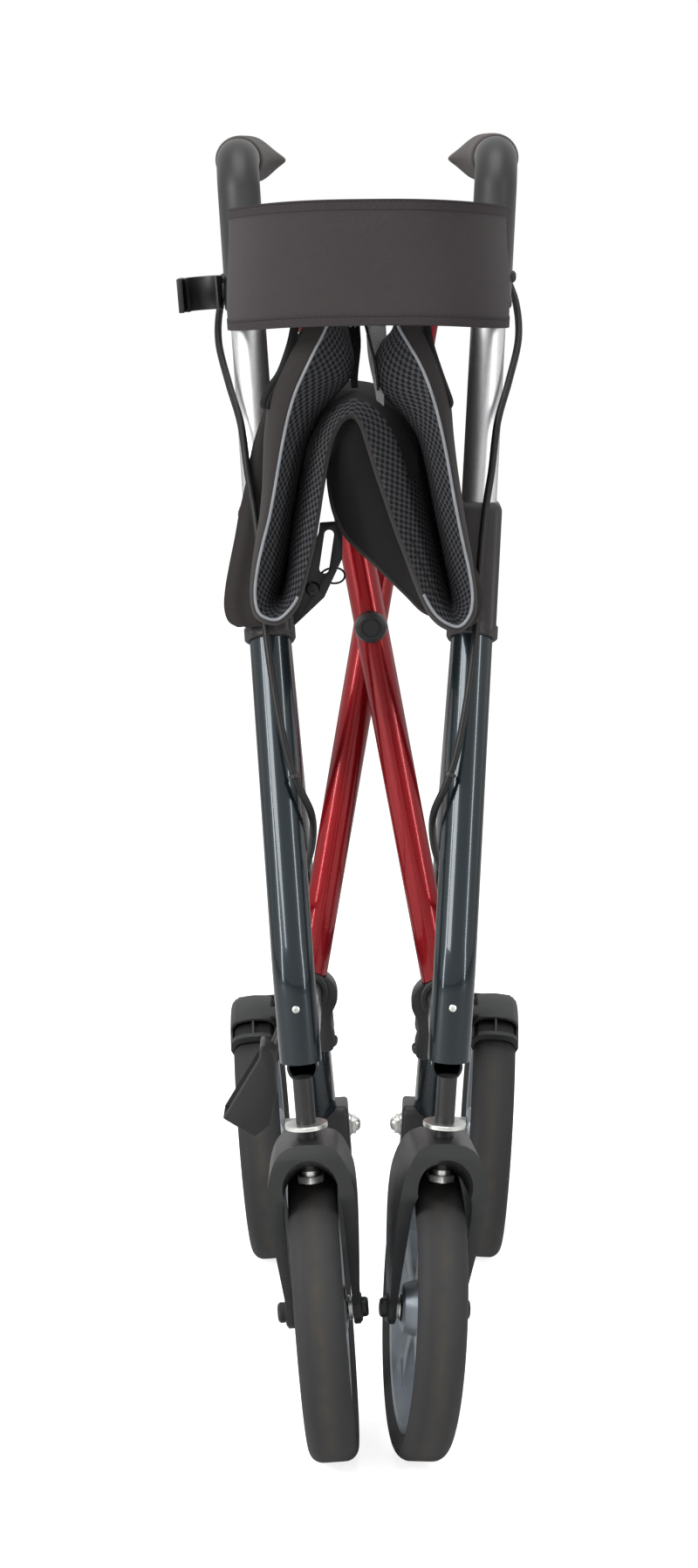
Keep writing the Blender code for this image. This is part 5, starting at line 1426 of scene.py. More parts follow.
CABLE_ROUTE = [
    (0.0040, -0.0400, 0.7780), (0.0110, -0.0500, 0.7570), (0.0185, -0.0700, 0.7380),
    (0.0205, -0.0950, 0.7160), (0.0150, -0.1230, 0.6900), (0.0085, -0.1480, 0.6650),
    (0.0060, -0.1660, 0.6350), (0.0030, -0.1810, 0.6080), (0.0016, -0.1935, 0.5750),
    (0.0016, -0.2040, 0.5450), (0.0000, -0.2150, 0.5150), (-0.0030, -0.2250, 0.4850),
    (-0.0070, -0.2320, 0.4600), (-0.0120, -0.2350, 0.4420), (-0.0185, -0.2290, 0.4220),
    (-0.0165, -0.2060, 0.3990), (-0.0080, -0.1700, 0.3720), (0.0010, -0.1200, 0.3470),
    (0.0030, -0.0600, 0.3290), (0.0050, 0.0000, 0.3160), (0.0130, 0.0350, 0.3050),
    (0.0190, 0.0700, 0.2920), (0.0208, 0.1050, 0.2770), (0.0212, 0.1400, 0.2630),
    (0.0210, 0.1680, 0.2520), (0.0202, 0.1900, 0.2435),
]


def brake_cables():
    """The brake cables, from the levers down before the tubes and back to the brake brackets."""
    path = smooth_path(CABLE_ROUTE, 8)
    model = bar("control_cable", path, CABLE_RADIUS, 4)
    for side in SIDES:
        cable = moved(linked(f"control_cable_{side}", model.data.copy()), FRAME[side])
        dress(cable, None, SHEATH, [f"brake_cable_{side}"])
        points = [FRAME[side] @ point for point in path]
        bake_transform(cable)
        length = sum((b - a).length for a, b in zip(points, points[1:]))
        [tuple(point) for point in points[::2] + [points[-1]]]
    bpy.data.objects.remove(model, do_unlink=True)
    for label, share in (("middle", 0.505), ("lower", 0.90)):
        index = int(share * (len(path) - 1))
        here = path[index]
        along = path[index + 1] - path[index - 1]
        tie = lathe(
            "tie",
            [
                (0.0025, -0.0012), (0.0036, -0.0012), (0.0038, 0.0), (0.0036, 0.0012),
                (0.0025, 0.0012),
            ],
            20,
            closed=True,
        )
        moved(tie, aimed(along, here))
        pair(tie, f"{label}_cable_tie", "frame", BLACK)


# Crossed frames


def crossed_frame(label, rail_side):
    """One red tube with its seat rail, and the black cap on the rail's front end."""
    sign = 1.0 if label == "front" else -1.0
    y = -sign * CROSS_SPACING / 2
    foot = -LOWER_ARM + 0.0087
    ends = [(0, y, foot), (0, y, UPPER_ARM - 0.004)]
    obj = pipe(f"crossed_tube_{label}", ends, CROSS_RADIUS, CROSS_WALL, 16)
    back = y + CROSS_RADIUS
    front = SEAT_RAIL_FRONT_Y - PIVOT_Y + 0.004
    middle = (0, (front + back) / 2, UPPER_ARM)
    rail = rod("rail", SEAT_RAIL_RADIUS, back - front, middle, (0, 1, 0), 40)
    weld(obj, soften(rail, 0.0012, 2, 50))
    cut(obj, rod("pivot_hole", BOLT_HOLE, 0.06, (0, y, 0), (0, 1, 0), 28))
    cut(obj, rod("saddle", 0.0148, 0.06, (0, y, -LOWER_ARM), (0, 1, 0), 40))
    moved(obj, CROSS[label])
    dress(obj, f"{label}_cross", RED, [f"cross_frame_{label}"])
    cap = lathe(
        f"rail_cap_{rail_side}",
        [
            (0.0, 0.0062), (0.0060, 0.0058), (0.0082, 0.0040), (0.0084, 0.0), (0.0084, -0.0070),
            (0.0080, -0.0076), (0.0, -0.0076),
        ],
        36,
        along=(0, -1, 0),
    )
    moved(cap, CROSS[label] @ at(0, front, UPPER_ARM))
    dress(cap, f"{label}_cross", BLACK)


def hinge_clamp(label, side):
    """The clamp round the lower rail, with its waisted lobe and a domed bolt."""
    y = (-1.0 if label == "front" else 1.0) * CROSS_SPACING / 2
    sign = 1.0 if side == "right" else -1.0
    obj = rod(f"hinge_clamp_{side}", 0.0145, 0.0245, (0, y, -LOWER_ARM), (0, 1, 0), 48)
    soften(obj, 0.0016, 3, 50)
    outline = smooth_path(
        [
            (0.0090, 0.0110), (0.0170, 0.0080), (0.0210, -0.0020), (0.0190, -0.0130),
            (0.0205, -0.0220), (0.0238, -0.0300), (0.0232, -0.0385), (0.0140, -0.0390),
            (0.0115, -0.0300), (0.0105, -0.0150),
        ],
        4,
        closed=True,
    )
    lobe = slab("lobe", [(-sign * p.x, -LOWER_ARM + p.y) for p in outline], 0.020, "xz", y)
    weld(obj, soften(lobe, 0.0018, 3, 40))
    cut(obj, rod("bore", RAIL_RADIUS + FIT_GAP, 0.06, (0, y, -LOWER_ARM), (0, 1, 0), 40))
    moved(obj, CROSS[label])
    dress(obj, f"{label}_cross", BLACK, [f"cross_hinge_{side}"])
    bolt = lathe(
        f"clamp_bolt_{side}",
        [
            (0.0, 0.0030), (0.0024, 0.0027), (0.0040, 0.0014), (0.0043, 0.0), (0.0043, -0.0008),
            (0.0, -0.0008),
        ],
        24,
        along=(-sign, 0, 0),
    )
    moved(bolt, CROSS[label] @ at(-sign * 0.0235, y, -LOWER_ARM - 0.0335))
    dress(bolt, f"{label}_cross", BLACK_STEEL)


def cross_bolt():
    """The bolt where the red tubes cross, with a domed and recessed cap at each end."""
    front = CROSS_SPACING / 2 + CROSS_RADIUS + FIT_GAP
    half = [
        (0.0, front + 0.0058), (0.0058, front + 0.0056), (0.0062, front + 0.0064),
        (0.0078, front + 0.0062), (0.0098, front + 0.0044), (0.0108, front + 0.0016),
        (0.0110, front), (0.0040, front), (0.0040, 0.0010), (0.0075, 0.0010),
    ]
    obj = lathe("cross_bolt", half + [(r, -h) for r, h in reversed(half)], 48, along=(0, 1, 0))
    moved(obj, PIVOT)
    dress(obj, "core", BLACK, ["pivot_bolt"], 28.0)


# Cane holder


def cane_ring():
    """The open ring for a cane's shaft, on a short stub with a flat outer plate."""
    height = 0.748
    centre_y = raked_y(height)
    ring_x = 0.0282
    outer = arc((ring_x, centre_y), 0.0130, -40, 220, 30)
    inner = arc((ring_x, centre_y), 0.0105, 220, -40, 30)
    obj = slab("cane_ring", [*outer, *inner], 0.022, "xy", height)
    soften(obj, 0.0007, 2, 40)
    face = block("face", (0.0036, 0.030, 0.022), (ring_x + 0.0130 + 0.0010, centre_y, height))
    weld(obj, soften(face, 0.0005, 2))
    root = (CASING_RADIUS + 0.0015, centre_y + 0.0045, height)
    stub = rod("stub", 0.0078, 0.0060, root, (1, 0, 0), 36)
    weld(obj, soften(stub, 0.0010, 2, 50))
    cut(obj, rod("seat", CASING_RADIUS + FIT_GAP, 0.06, raked_point(height), RAKE_UP, 40))
    moved(obj, FRAME["left"])
    dress(obj, "handle_left", BLACK, ["cane_clip"])


def cane_pocket():
    """The cup for a cane's tip: a flat box with its mouth out and up, on an arm clamped to the leg."""
    outline = [
        (-0.0795, 0.2050), (-0.0824, 0.2044), (-0.0828, 0.1964), (-0.1080, 0.1550),
        (-0.1096, 0.1524), (-0.0869, 0.1381), (-0.0760, 0.1462), (-0.0700, 0.1700),
        (-0.0712, 0.1980),
    ]
    room = [
        (-0.0990, 0.2120), (-0.1300, 0.1670), (-0.1086, 0.1541), (-0.0868, 0.1406),
        (-0.0778, 0.1474), (-0.0722, 0.1702), (-0.0734, 0.1960), (-0.0790, 0.2010),
    ]
    obj = slab("cane_pocket", outline, 0.0350, "xz", 0.0705)
    soften(obj, 0.0016, 3, 20)
    hollow = slab("hollow", room, 0.0310, "xz", 0.0705)
    cut(obj, soften(hollow, 0.0012, 2, 20))
    soften(obj, 0.0005, 2, 60)
    moved(obj, BASE)
    clamp = leg_point(0.245)
    arm_end = Vector((0.0370, 0.0860, 0.1850))
    arm = bar("arm", [clamp, arm_end], 0.0055, 8)
    collar = rod("collar", 0.0148, 0.016, clamp, LEG_DOWN, 40)
    weld(arm, soften(collar, 0.0010, 2))
    cut(arm, rod("bore", LEG_RADIUS + SOCKET_GAP, 0.08, clamp, LEG_DOWN, 40))
    moved(arm, FRAME["left"])
    weld(obj, arm)
    dress(obj, "frame_left", BLACK, ["cane_cup"])


# Seat and back strap

# The folded seat in front view, from the left rail round both lobes to the right rail: its piped edge,
# the valley that its mesh face runs into, its outer face, and the line it follows further back
SEAT_EDGE = [
    (-0.0235, 0.7337), (-0.0274, 0.7246), (-0.0328, 0.7145), (-0.0389, 0.7022), (-0.0450, 0.6888),
    (-0.0495, 0.6743), (-0.0529, 0.6593), (-0.0558, 0.6442), (-0.0587, 0.6280), (-0.0622, 0.6107),
    (-0.0662, 0.5960), (-0.0697, 0.5808), (-0.0716, 0.5655), (-0.0701, 0.5541), (-0.0648, 0.5495),
    (-0.0577, 0.5489), (-0.0506, 0.5549), (-0.0456, 0.5628), (-0.0405, 0.5781), (-0.0365, 0.5944),
    (-0.0330, 0.6134), (-0.0295, 0.6350), (-0.0255, 0.6566), (-0.0188, 0.6711), (-0.0112, 0.6754),
    (-0.0048, 0.6706), (-0.0006, 0.6593), (0.0046, 0.6420), (0.0104, 0.6242), (0.0172, 0.6036),
    (0.0252, 0.5835), (0.0332, 0.5634), (0.0401, 0.5513), (0.0477, 0.5451), (0.0553, 0.5434),
    (0.0613, 0.5506), (0.0630, 0.5623), (0.0609, 0.5781), (0.0577, 0.5928), (0.0546, 0.6080),
    (0.0514, 0.6253), (0.0483, 0.6437), (0.0447, 0.6625), (0.0405, 0.6802), (0.0357, 0.6952),
    (0.0305, 0.7070), (0.0246, 0.7172), (0.0193, 0.7262), (0.0162, 0.7337),
]
SEAT_VALLEY = [
    (-0.0130, 0.7289), (-0.0109, 0.7180), (-0.0089, 0.7072), (-0.0106, 0.6963), (-0.0189, 0.6865),
    (-0.0289, 0.6745), (-0.0368, 0.6593), (-0.0413, 0.6439), (-0.0454, 0.6264), (-0.0489, 0.6088),
    (-0.0513, 0.5934), (-0.0537, 0.5779), (-0.0561, 0.5668), (-0.0573, 0.5613), (-0.0567, 0.5596),
    (-0.0556, 0.5613), (-0.0544, 0.5668), (-0.0526, 0.5768), (-0.0508, 0.5906), (-0.0484, 0.6071),
    (-0.0454, 0.6236), (-0.0419, 0.6417), (-0.0368, 0.6593), (-0.0245, 0.6778), (-0.0096, 0.6871),
    (0.0051, 0.6822), (0.0175, 0.6702), (0.0256, 0.6538), (0.0309, 0.6346), (0.0352, 0.6154),
    (0.0389, 0.5978), (0.0432, 0.5796), (0.0470, 0.5668), (0.0497, 0.5580), (0.0502, 0.5557),
    (0.0502, 0.5580), (0.0492, 0.5668), (0.0465, 0.5796), (0.0438, 0.5945), (0.0406, 0.6099),
    (0.0375, 0.6264), (0.0343, 0.6428), (0.0300, 0.6582), (0.0214, 0.6713), (0.0095, 0.6833),
    (0.0041, 0.6941), (0.0031, 0.7072), (0.0076, 0.7169), (0.0153, 0.7256),
]
SEAT_OUTER = [
    (-0.0378, 0.7327), (-0.0444, 0.7225), (-0.0500, 0.7134), (-0.0561, 0.7015), (-0.0611, 0.6896),
    (-0.0640, 0.6755), (-0.0659, 0.6604), (-0.0667, 0.6440), (-0.0675, 0.6277), (-0.0694, 0.6102),
    (-0.0723, 0.5938), (-0.0747, 0.5784), (-0.0761, 0.5619), (-0.0741, 0.5487), (-0.0665, 0.5429),
    (-0.0567, 0.5424), (-0.0483, 0.5490), (-0.0433, 0.5581), (-0.0387, 0.5746), (-0.0346, 0.5910),
    (-0.0311, 0.6102), (-0.0276, 0.6315), (-0.0230, 0.6528), (-0.0169, 0.6658), (-0.0108, 0.6701),
    (-0.0071, 0.6652), (-0.0039, 0.6555), (0.0013, 0.6386), (0.0072, 0.6206), (0.0141, 0.5998),
    (0.0221, 0.5795), (0.0302, 0.5586), (0.0377, 0.5448), (0.0470, 0.5379), (0.0563, 0.5363),
    (0.0657, 0.5457), (0.0674, 0.5586), (0.0653, 0.5751), (0.0627, 0.5905), (0.0600, 0.6058),
    (0.0574, 0.6233), (0.0548, 0.6419), (0.0527, 0.6609), (0.0512, 0.6788), (0.0480, 0.6929),
    (0.0438, 0.7058), (0.0395, 0.7166), (0.0347, 0.7263), (0.0304, 0.7338),
]
SEAT_DEEP = [
    (-0.0300, 0.7400), (-0.0312, 0.7270), (-0.0325, 0.7120), (-0.0340, 0.6970), (-0.0355, 0.6830),
    (-0.0370, 0.6690), (-0.0385, 0.6560), (-0.0398, 0.6440), (-0.0410, 0.6330), (-0.0420, 0.6240),
    (-0.0427, 0.6180), (-0.0431, 0.6130), (-0.0430, 0.6095), (-0.0420, 0.6068), (-0.0402, 0.6055),
    (-0.0385, 0.6075), (-0.0384, 0.6120), (-0.0380, 0.6190), (-0.0371, 0.6290), (-0.0360, 0.6390),
    (-0.0346, 0.6500), (-0.0328, 0.6610), (-0.0300, 0.6740), (-0.0190, 0.6850), (-0.0030, 0.6850),
    (0.0110, 0.6810), (0.0210, 0.6760), (0.0275, 0.6710), (0.0305, 0.6640), (0.0325, 0.6570),
    (0.0356, 0.6490), (0.0368, 0.6400), (0.0378, 0.6300), (0.0388, 0.6200), (0.0381, 0.6120),
    (0.0388, 0.6070), (0.0430, 0.6095), (0.0431, 0.6130), (0.0427, 0.6180), (0.0420, 0.6240),
    (0.0410, 0.6330), (0.0398, 0.6440), (0.0385, 0.6560), (0.0370, 0.6690), (0.0355, 0.6830),
    (0.0340, 0.6970), (0.0325, 0.7120), (0.0312, 0.7270), (0.0300, 0.7400),
]
WING_LEFT_EDGE = [
    (-0.0640, 0.6786), (-0.0702, 0.6633), (-0.0754, 0.6468), (-0.0790, 0.6270), (-0.0831, 0.6094),
    (-0.0862, 0.5928), (-0.0897, 0.5762), (-0.0922, 0.5624), (-0.0929, 0.5507), (-0.0903, 0.5424),
    (-0.0843, 0.5390),
]
WING_LEFT_INNER = [
    (-0.0624, 0.6775), (-0.0637, 0.6633), (-0.0644, 0.6468), (-0.0647, 0.6270), (-0.0661, 0.6094),
    (-0.0685, 0.5928), (-0.0704, 0.5762), (-0.0717, 0.5624), (-0.0708, 0.5507), (-0.0676, 0.5429),
    (-0.0660, 0.5396),
]
WING_RIGHT_EDGE = [
    (0.0636, 0.5812), (0.0679, 0.5713), (0.0706, 0.5614), (0.0700, 0.5526), (0.0667, 0.5449),
    (0.0617, 0.5410),
]
WING_RIGHT_INNER = [
    (0.0608, 0.5812), (0.0619, 0.5713), (0.0629, 0.5614), (0.0623, 0.5526), (0.0607, 0.5471),
    (0.0590, 0.5438),
]
TAB_LEFT_EDGE = [
    (-0.0474, 0.7330), (-0.0503, 0.7185), (-0.0565, 0.7013), (-0.0636, 0.6911), (-0.0670, 0.6814),
    (-0.0644, 0.6781),
]
TAB_LEFT_INNER = [
    (-0.0420, 0.7330), (-0.0454, 0.7185), (-0.0516, 0.7003), (-0.0577, 0.6900), (-0.0616, 0.6814),
    (-0.0628, 0.6781),
]
TAB_RIGHT_EDGE = [
    (0.0379, 0.7330), (0.0399, 0.7185), (0.0447, 0.7024), (0.0489, 0.6900), (0.0516, 0.6814),
    (0.0499, 0.6776),
]
TAB_RIGHT_INNER = [
    (0.0336, 0.7330), (0.0356, 0.7185), (0.0404, 0.7013), (0.0451, 0.6889), (0.0478, 0.6814),
    (0.0489, 0.6776),
]
FLAP_TOP = [
    (-0.0262, 0.6500), (-0.0205, 0.6630), (-0.0150, 0.6725), (-0.0060, 0.6742), (0.0005, 0.6660),
    (0.0085, 0.6400), (0.0170, 0.6190), (0.0260, 0.5970), (0.0345, 0.5740), (0.0430, 0.5560),
]
FLAP_FOOT = [
    (-0.0258, 0.6400), (-0.0250, 0.6270), (-0.0220, 0.6120), (-0.0160, 0.5990), (-0.0080, 0.5900),
    (0.0030, 0.5800), (0.0130, 0.5700), (0.0230, 0.5600), (0.0330, 0.5500), (0.0440, 0.5460),
]
SEAT_WALL = 0.0022
SEAT_STEPS = 5
LEFT_SPLIT = 10 * SEAT_STEPS
RIGHT_SPLIT = 38 * SEAT_STEPS
LOBE_LEFT_END = 17 * SEAT_STEPS
LOBE_RIGHT_START = 31 * SEAT_STEPS
HUMP = range(21 * SEAT_STEPS, 28 * SEAT_STEPS)

# How many of a section's strips belong to its mesh face, and how many of those lie deep behind its edge,
# which on the hump are painted near-black as shade
MESH_COLUMNS = 11
HUMP_SHADE_COLUMNS = 8


def seat_lines():
    """The seat's front edge, valley, outer and deep lines, and the outward side at each point."""
    shapes = (SEAT_EDGE, SEAT_VALLEY, SEAT_OUTER, SEAT_DEEP)
    lines = [front_line(shape, SEAT_STEPS) for shape in shapes]
    deep = lines[3]
    sides = []
    for i in range(len(deep)):
        along = deep[min(i + 1, len(deep) - 1)] - deep[max(i - 1, 0)]
        sides.append(Vector((along.z, 0.0, -along.x)).normalized())
    return (*lines, sides)


def seat_section(edge, valley, outer, deep, side):
    """One closed section of the seat: the mesh face from the back to the piped edge, then the outer face."""
    back = deep + side * SEAT_WALL
    places = [(deep, deep, 0.0, depth) for depth in (-0.060, -0.105, -0.145, -0.160, -0.172)]
    places += [
        (deep, valley, 0.62, -0.1850), (edge, valley, 1.0, -0.1980), (edge, valley, 0.93, -0.2080),
        (edge, valley, 0.72, -0.2180), (edge, valley, 0.42, -0.2265), (edge, valley, 0.16, -0.2330),
        (edge, outer, 0.0, -0.2368), (edge, outer, 0.20, -0.2366), (edge, outer, 0.55, -0.2320),
        (edge, outer, 0.86, -0.2240), (edge, outer, 1.0, -0.2120), (edge, outer, 0.94, -0.1980),
        (outer, back, 0.50, -0.1830),
    ]
    places += [(back, back, 0.0, depth) for depth in (-0.168, -0.145, -0.105, -0.060)]
    return [a.lerp(b, share) + Vector((0, depth, 0)) for a, b, share, depth in places]


def seat_part(name, first, last, body, node):
    """A run of the seat's sections between two points of its line, closed at both ends."""
    rows = [seat_section(*lines) for lines in list(zip(*seat_lines()))[first : last + 1]]
    obj = cloth_grid(name, rows, closed=True)
    width = len(rows[0])
    for finish in (MESH, BORDER, UNDERSIDE):
        obj.data.materials.append(finish)
    for index, face in enumerate(obj.data.polygons):
        row, column = first + index // width, index % width
        face.material_index = 0 if column < MESH_COLUMNS else 1
        # Deep on the hump the mesh gets the near-black underside cloth: painted shade where the walls and
        # strap shadow it
        if column < HUMP_SHADE_COLUMNS and row in HUMP:
            face.material_index = 2
    choose(obj)
    bpy.ops.object.mode_set(mode="EDIT")
    bpy.ops.mesh.select_all(action="DESELECT")
    bpy.ops.mesh.select_non_manifold()
    bpy.ops.mesh.edge_face_add()
    bpy.ops.object.mode_set(mode="OBJECT")
    moved(outward(obj), BASE)
    return dress(obj, body, MESH, [node], CLOTH_ANGLE)


def seat():
    """The mesh seat: two padded walls on the rails and the folded middle between them."""
    lines = seat_lines()
    edge, outer = lines[0], lines[2]
    last = len(edge) - 1
    left = seat_part("seat_wall_left", 0, LEFT_SPLIT, "seat_left", "seat_panel_left")
    right = seat_part("seat_wall_right", RIGHT_SPLIT, last, "seat_right", "seat_panel_right")
    middle = seat_part("seat_middle", LEFT_SPLIT, RIGHT_SPLIT, "core", "seat_sling")
    for name, first, end, body in (
        ("piping_left", SEAT_STEPS // 2, LEFT_SPLIT, "seat_left"),
        ("piping_right", RIGHT_SPLIT, last - SEAT_STEPS // 2, "seat_right"),
        ("piping_lobe_left", LEFT_SPLIT, LOBE_LEFT_END, "core"),
        ("piping_lobe_right", LOBE_RIGHT_START, RIGHT_SPLIT, "core"),
    ):
        points = []
        for i in range(first, end + 1):
            away = (outer[i] - edge[i]).normalized()
            points.append(edge[i] + Vector((0, -0.2372, 0)) + away * 0.0004)
        obj = moved(bar(name, points, 0.00095, 4), BASE)
        dress(obj, body, PIPING, angle=CLOTH_ANGLE)
        if body == "core":
            flatten(obj)
    flatten(middle)


def flatten(obj):
    """Gives the piece its own copy of its mesh."""
    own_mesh(obj)


def rail_sleeve(label, side):
    """The seat's hem round its rail."""
    points = [Vector((0, y, 0)) for y in (-0.202, -0.150, -0.090, -0.032)]
    obj = pipe(f"rail_sleeve_{side}", points, 0.0102, 0.0014, 12)
    moved(obj, CROSS[label] @ at(0, 0, UPPER_ARM))
    dress(obj, f"{label}_cross", BORDER)


def underside_flap():
    """The seat's dark underside below the hump, with its rolled lower edge."""
    top, foot = front_line(FLAP_TOP, 4), front_line(FLAP_FOOT, 4)
    rows = []
    for step in range(13):
        share = step / 12
        row = []
        for i, (a, b) in enumerate(zip(top, foot)):
            across = i / (len(top) - 1)
            bulge = math.sin(math.pi * share) * math.sin(math.pi * across)
            fold = 0.0009 * math.sin(14.0 * across + 3.0 * share)
            y = -0.2290 + 0.016 * share - 0.0060 * bulge + fold
            row.append(a.lerp(b, share) + Vector((0, y, 0)))
        rows.append(row)
    obj = cloth_piece("underside_flap", rows, 0.0012, "core", UNDERSIDE)
    line = [point + Vector((0, -0.0006, 0)) for point in rows[-1]]
    hem = moved(bar("underside_hem", line, 0.0015, 5), BASE)
    dress(hem, "core", BORDER, angle=CLOTH_ANGLE)
    flatten(obj)
    flatten(hem)


def back_strap():
    """The back strap's two halves: cloth with stitched hems, joined at the middle."""
    casing = UPRIGHT @ raked_point(STRAP_Z)
    away = CASING_RADIUS + FIT_GAP + STRAP_THICKNESS / 2
    wide = casing.x + away * 0.70
    back = casing.y - away * 0.72
    deep = back - STRAP_FRONT_Y
    count = 40
    levels = 24
    rows = []
    for level in range(levels + 1):
        share = level / levels - 0.5
        rise = share * STRAP_HEIGHT
        row = []
        for step in range(count + 1):
            part = step / count
            angle = math.pi / 2 * part
            x = wide * math.cos(angle) ** (2 / 3.0)
            y = back - deep * math.sin(angle) ** (2 / 3.0)
            hold = 1.0 - 0.5 * smoothstep(part, 0.0, 1.0)
            x += rise * math.sin(math.radians(LEAN)) * hold * (x / wide)
            y += rise * math.tan(RAKE) * hold
            upper = smoothstep(share, -0.4, 0.5)
            x -= 0.0052 * upper * (x / wide)
            y -= 0.0034 * upper * (1.0 - smoothstep(part, 0.0, 0.4))
            lift = 0.0066 * smoothstep(part, 0.0, 1.0)
            wave = 0.0007 * math.sin(9.0 * part + 3.0 * share) * math.cos(math.pi * share)
            row.append(Vector((x, y + wave, STRAP_Z + rise + lift)))
        rows.append(row)
    for side in SIDES:
        sign = 1.0 if side == "right" else -1.0
        body = f"strap_{side}"
        placed = [[Vector((sign * p.x, p.y, p.z)) for p in row] for row in rows]
        obj = cloth_piece(
            f"strap_cloth_{side}",
            placed,
            STRAP_THICKNESS,
            body,
            STRAP_CLOTH,
            [f"back_strap_{side}"],
            50.0,
        )
        for label, band in (("lower", placed[:3]), ("upper", placed[-3:])):
            name = f"strap_hem_{label}_{side}"
            cloth_piece(name, band, HEM_THICKNESS, body, HEM_CLOTH)


def cloth_panel(name, edges, depth, body, finish, thickness, bulge):
    """A soft flap between two edges in front view.

    A positive depth keeps it that far before the raked tube, and a negative one is its place.
    """
    first, second = [front_line(edge, 4) for edge in edges]
    rows = []
    for i, (a, b) in enumerate(zip(first, second)):
        down = i / (len(first) - 1)
        row = []
        for step in range(13):
            share = step / 12
            point = a.lerp(b, share)
            swell = math.sin(math.pi * share) * math.sin(math.pi * min(0.9, down + 0.08))
            fold = 0.0006 * math.sin(11.0 * share + 2.0 * down) * down
            y = raked_y(point.z) - depth if depth > 0 else depth
            row.append(point + Vector((0, y - bulge * swell + fold, 0)))
        rows.append(row)
    return cloth_piece(name, rows, thickness, body, finish)


def side_flaps():
    """The loose border cloth beside both lobes, and the black stiffening tabs under the strap."""
    edges = (WING_LEFT_EDGE, WING_LEFT_INNER)
    left = cloth_panel("wing_left", edges, 0.0215, "frame_left", BORDER, 0.0014, 0.0022)
    edges = (WING_RIGHT_INNER, WING_RIGHT_EDGE)
    right = cloth_panel("wing_right", edges, -0.2200, "core", BORDER, 0.0014, 0.0030)
    flatten(right)
    for side, edges in (
        ("left", (TAB_LEFT_EDGE, TAB_LEFT_INNER)),
        ("right", (TAB_RIGHT_EDGE, TAB_RIGHT_INNER)),
    ):
        cloth_panel(f"tab_{side}", edges, -0.2215, f"seat_{side}", TAB_CLOTH, 0.0026, 0.001)


def cord_ring():
    """The black cord loop behind the left guide."""
    centre = Vector((-0.0244, -0.146, 0.5652))
    path = []
    for step in range(37):
        a = 2 * math.pi * step / 36
        out, deep, up = 0.0078 * math.cos(a), 0.003 * math.sin(2 * a), 0.0050 * math.sin(a)
        path.append(centre + Vector((out, deep, up)))
    obj = moved(bar("cord_ring", path, 0.0007, 3), BASE)
    dress(obj, "frame_left", SHEATH, angle=CLOTH_ANGLE)


def webbing():
    """The grey pull loop on the seat's hump, the black webbing behind it and the striped end beside it."""
    for name, finish, x, width, low, high, depth, flat in (
        ("pull_loop_front", WEBBING_GREY, 0.0042, 0.0125, 0.6780, 0.7380, -0.2050, (0.060, 0.0115)),
        ("pull_loop_back", WEBBING_BLACK, -0.0120, 0.0120, 0.6880, 0.7400, -0.1780, (0.052, 0.0110)),
        ("pull_loop_end", WEBBING_STRIPED, -0.0185, 0.0150, 0.7270, 0.7420, -0.1900, None),
    ):
        rows = []
        for step in range(15):
            share = step / 14
            z = low + (high - low) * share
            narrow = 0.35 + 0.65 * smoothstep(share, 0.0, 0.6) if flat else 1.0
            y = depth + 0.004 * math.sin(4.0 * share)
            row = []
            for across in (-0.5, -0.25, 0.0, 0.25, 0.5):
                row.append(Vector((x + across * width * narrow + 0.003 * (1.0 - share), y, z)))
            rows.append(row)
        obj = cloth_piece(name, rows, 0.0014, "core", finish)
        flatten(obj)
    points = [
        (-0.0030, -0.2075, 0.7330), (0.0010, -0.2085, 0.7180), (0.0045, -0.2090, 0.7030),
        (0.0058, -0.2085, 0.6880),
    ]
    cord = moved(bar("pull_cord", smooth_path(points, 5), 0.0009, 4), BASE)
    dress(cord, "core", SHEATH, angle=CLOTH_ANGLE)
    flatten(cord)


# Light, floor and camera

# The surround's light on the object, as a share of what the camera sees of it
WORLD_LIGHT = 0.27

# The floor's own glow, which only the camera sees
FLOOR_GLOW = 0.80


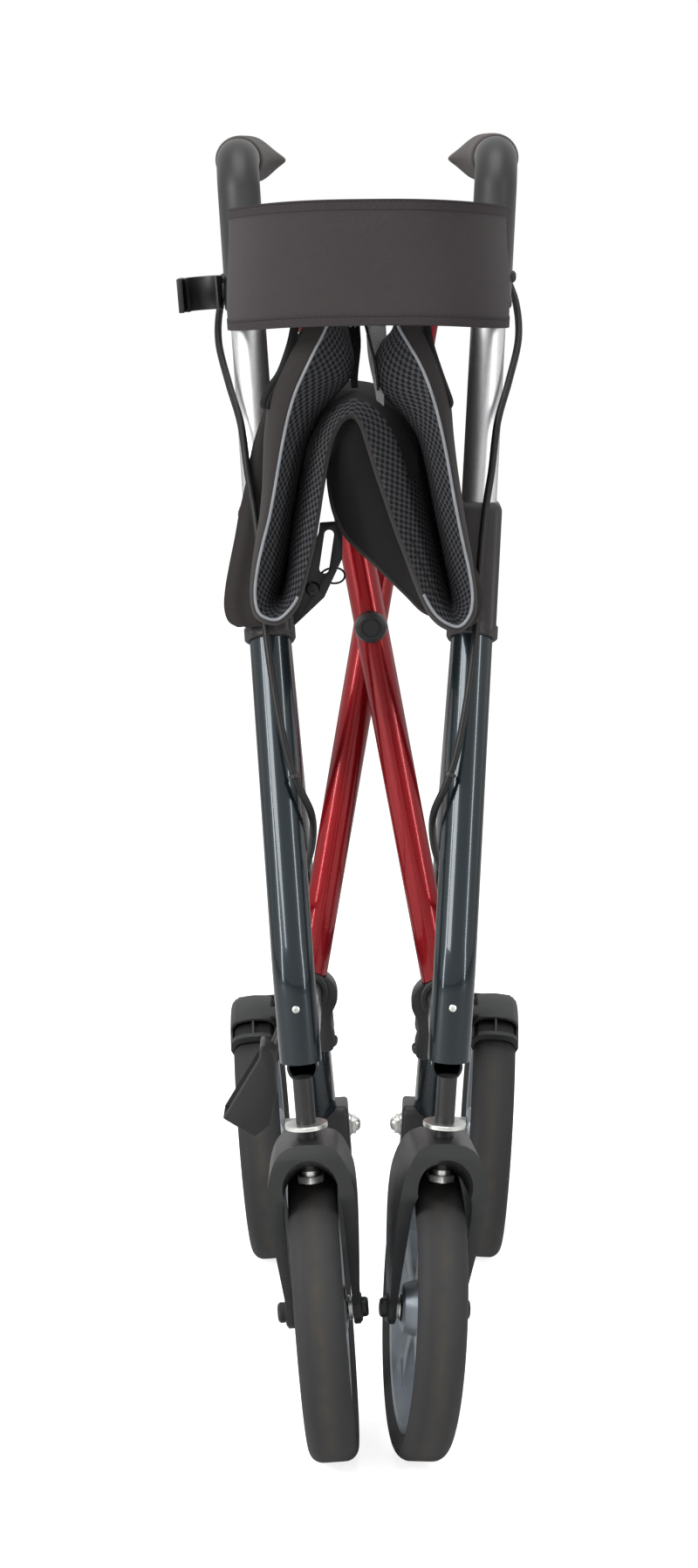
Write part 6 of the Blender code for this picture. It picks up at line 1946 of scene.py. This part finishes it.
def studio():
    """A bright surround, a white floor and four soft lamps."""
    world = bpy.data.worlds.new("studio")
    bpy.context.scene.world = world
    world.use_nodes = True
    tree = world.node_tree
    path = tree.nodes.new("ShaderNodeLightPath")
    rays = [Field(tree, path.outputs[f"Is {kind} Ray"]) for kind in ("Camera", "Glossy", "Transmission")]
    seen = (rays[0] + rays[1] + rays[2]).between(0.0, 1.0)
    background = tree.nodes["Background"].inputs
    feed(tree, (1.0, 1.0, 1.0, 1.0), background["Color"])
    feed(tree, WORLD_LIGHT + seen * (1.0 - WORLD_LIGHT), background["Strength"])

    deselect()
    bpy.ops.mesh.primitive_plane_add(size=30.0, location=(0, 8.0, -0.0004))
    floor = named("studio_floor")
    finish = Finish("studio_floor", (0.92, 0.92, 0.92), 0.9, 0.0, 0.0)
    finish.set("Emission Color", (1.0, 1.0, 1.0, 1.0))
    finish.set("Emission Strength", finish.node("ShaderNodeLightPath") * FLOOR_GLOW)
    floor.data.materials.append(finish.material)

    # Each lamp's place, what it is aimed at, its width and height in metres and its watts
    for name, place, aim, size, power in (
        ("front_softbox", (-1.9, -2.3, 2.3), (0, 0, 0.5), (1.2, 1.2), 62.0),
        ("left_strip", (-1.7, -1.2, 1.0), (0, -0.1, 0.5), (0.20, 1.8), 22.0),
        ("right_strip", (1.7, -1.3, 1.0), (0, -0.1, 0.5), (0.20, 1.8), 18.0),
        ("top_softbox", (0.0, -0.3, 2.6), (0, 0, 0.5), (1.4, 1.4), 24.0),
    ):
        lamp = bpy.data.lights.new(name, "AREA")
        lamp.shape = "RECTANGLE"
        lamp.size, lamp.size_y = size
        lamp.energy = power
        obj = linked(name, lamp)
        obj.location = place
        obj.rotation_euler = (Vector(aim) - Vector(place)).to_track_quat("-Z", "Y").to_euler()


def camera():
    """The photo's camera: its place, its turn and its lens."""
    data = bpy.data.cameras.new("camera")
    data.sensor_width = 36.0
    data.lens = 85.5
    obj = linked("camera", data)
    pan, tilt, roll = 0.364, 80.44, -0.56
    turn = about("Z", pan) @ about("X", tilt) @ about("Z", roll)
    obj.matrix_world = at(SHIFT_X, -2.5417, 0.832) @ turn
    bpy.context.scene.camera = obj
    bpy.context.scene.view_settings.view_transform = "Standard"


def build():
    """Everything in the picture."""
    camera()
    studio()
    brake_cables()
    down_tube()
    leg_tube()
    base_rail()
    junction_housing()
    slotted_guide()
    head_sleeve()
    fork()
    stem()
    wheels()
    front_axle()
    rear_axle()
    axle_block()
    fender()
    brake_plate()
    brake_shoe()
    slide_tube()
    elbow()
    hand_grip()
    hand_lever()
    spring_pin()
    for label, foot_side, rail_side in (("front", "right", "left"), ("rear", "left", "right")):
        crossed_frame(label, rail_side)
        hinge_clamp(label, foot_side)
        rail_sleeve(label, rail_side)
    cross_bolt()
    cane_ring()
    cane_pocket()
    seat()
    underside_flap()
    side_flaps()
    cord_ring()
    webbing()
    back_strap()


build()
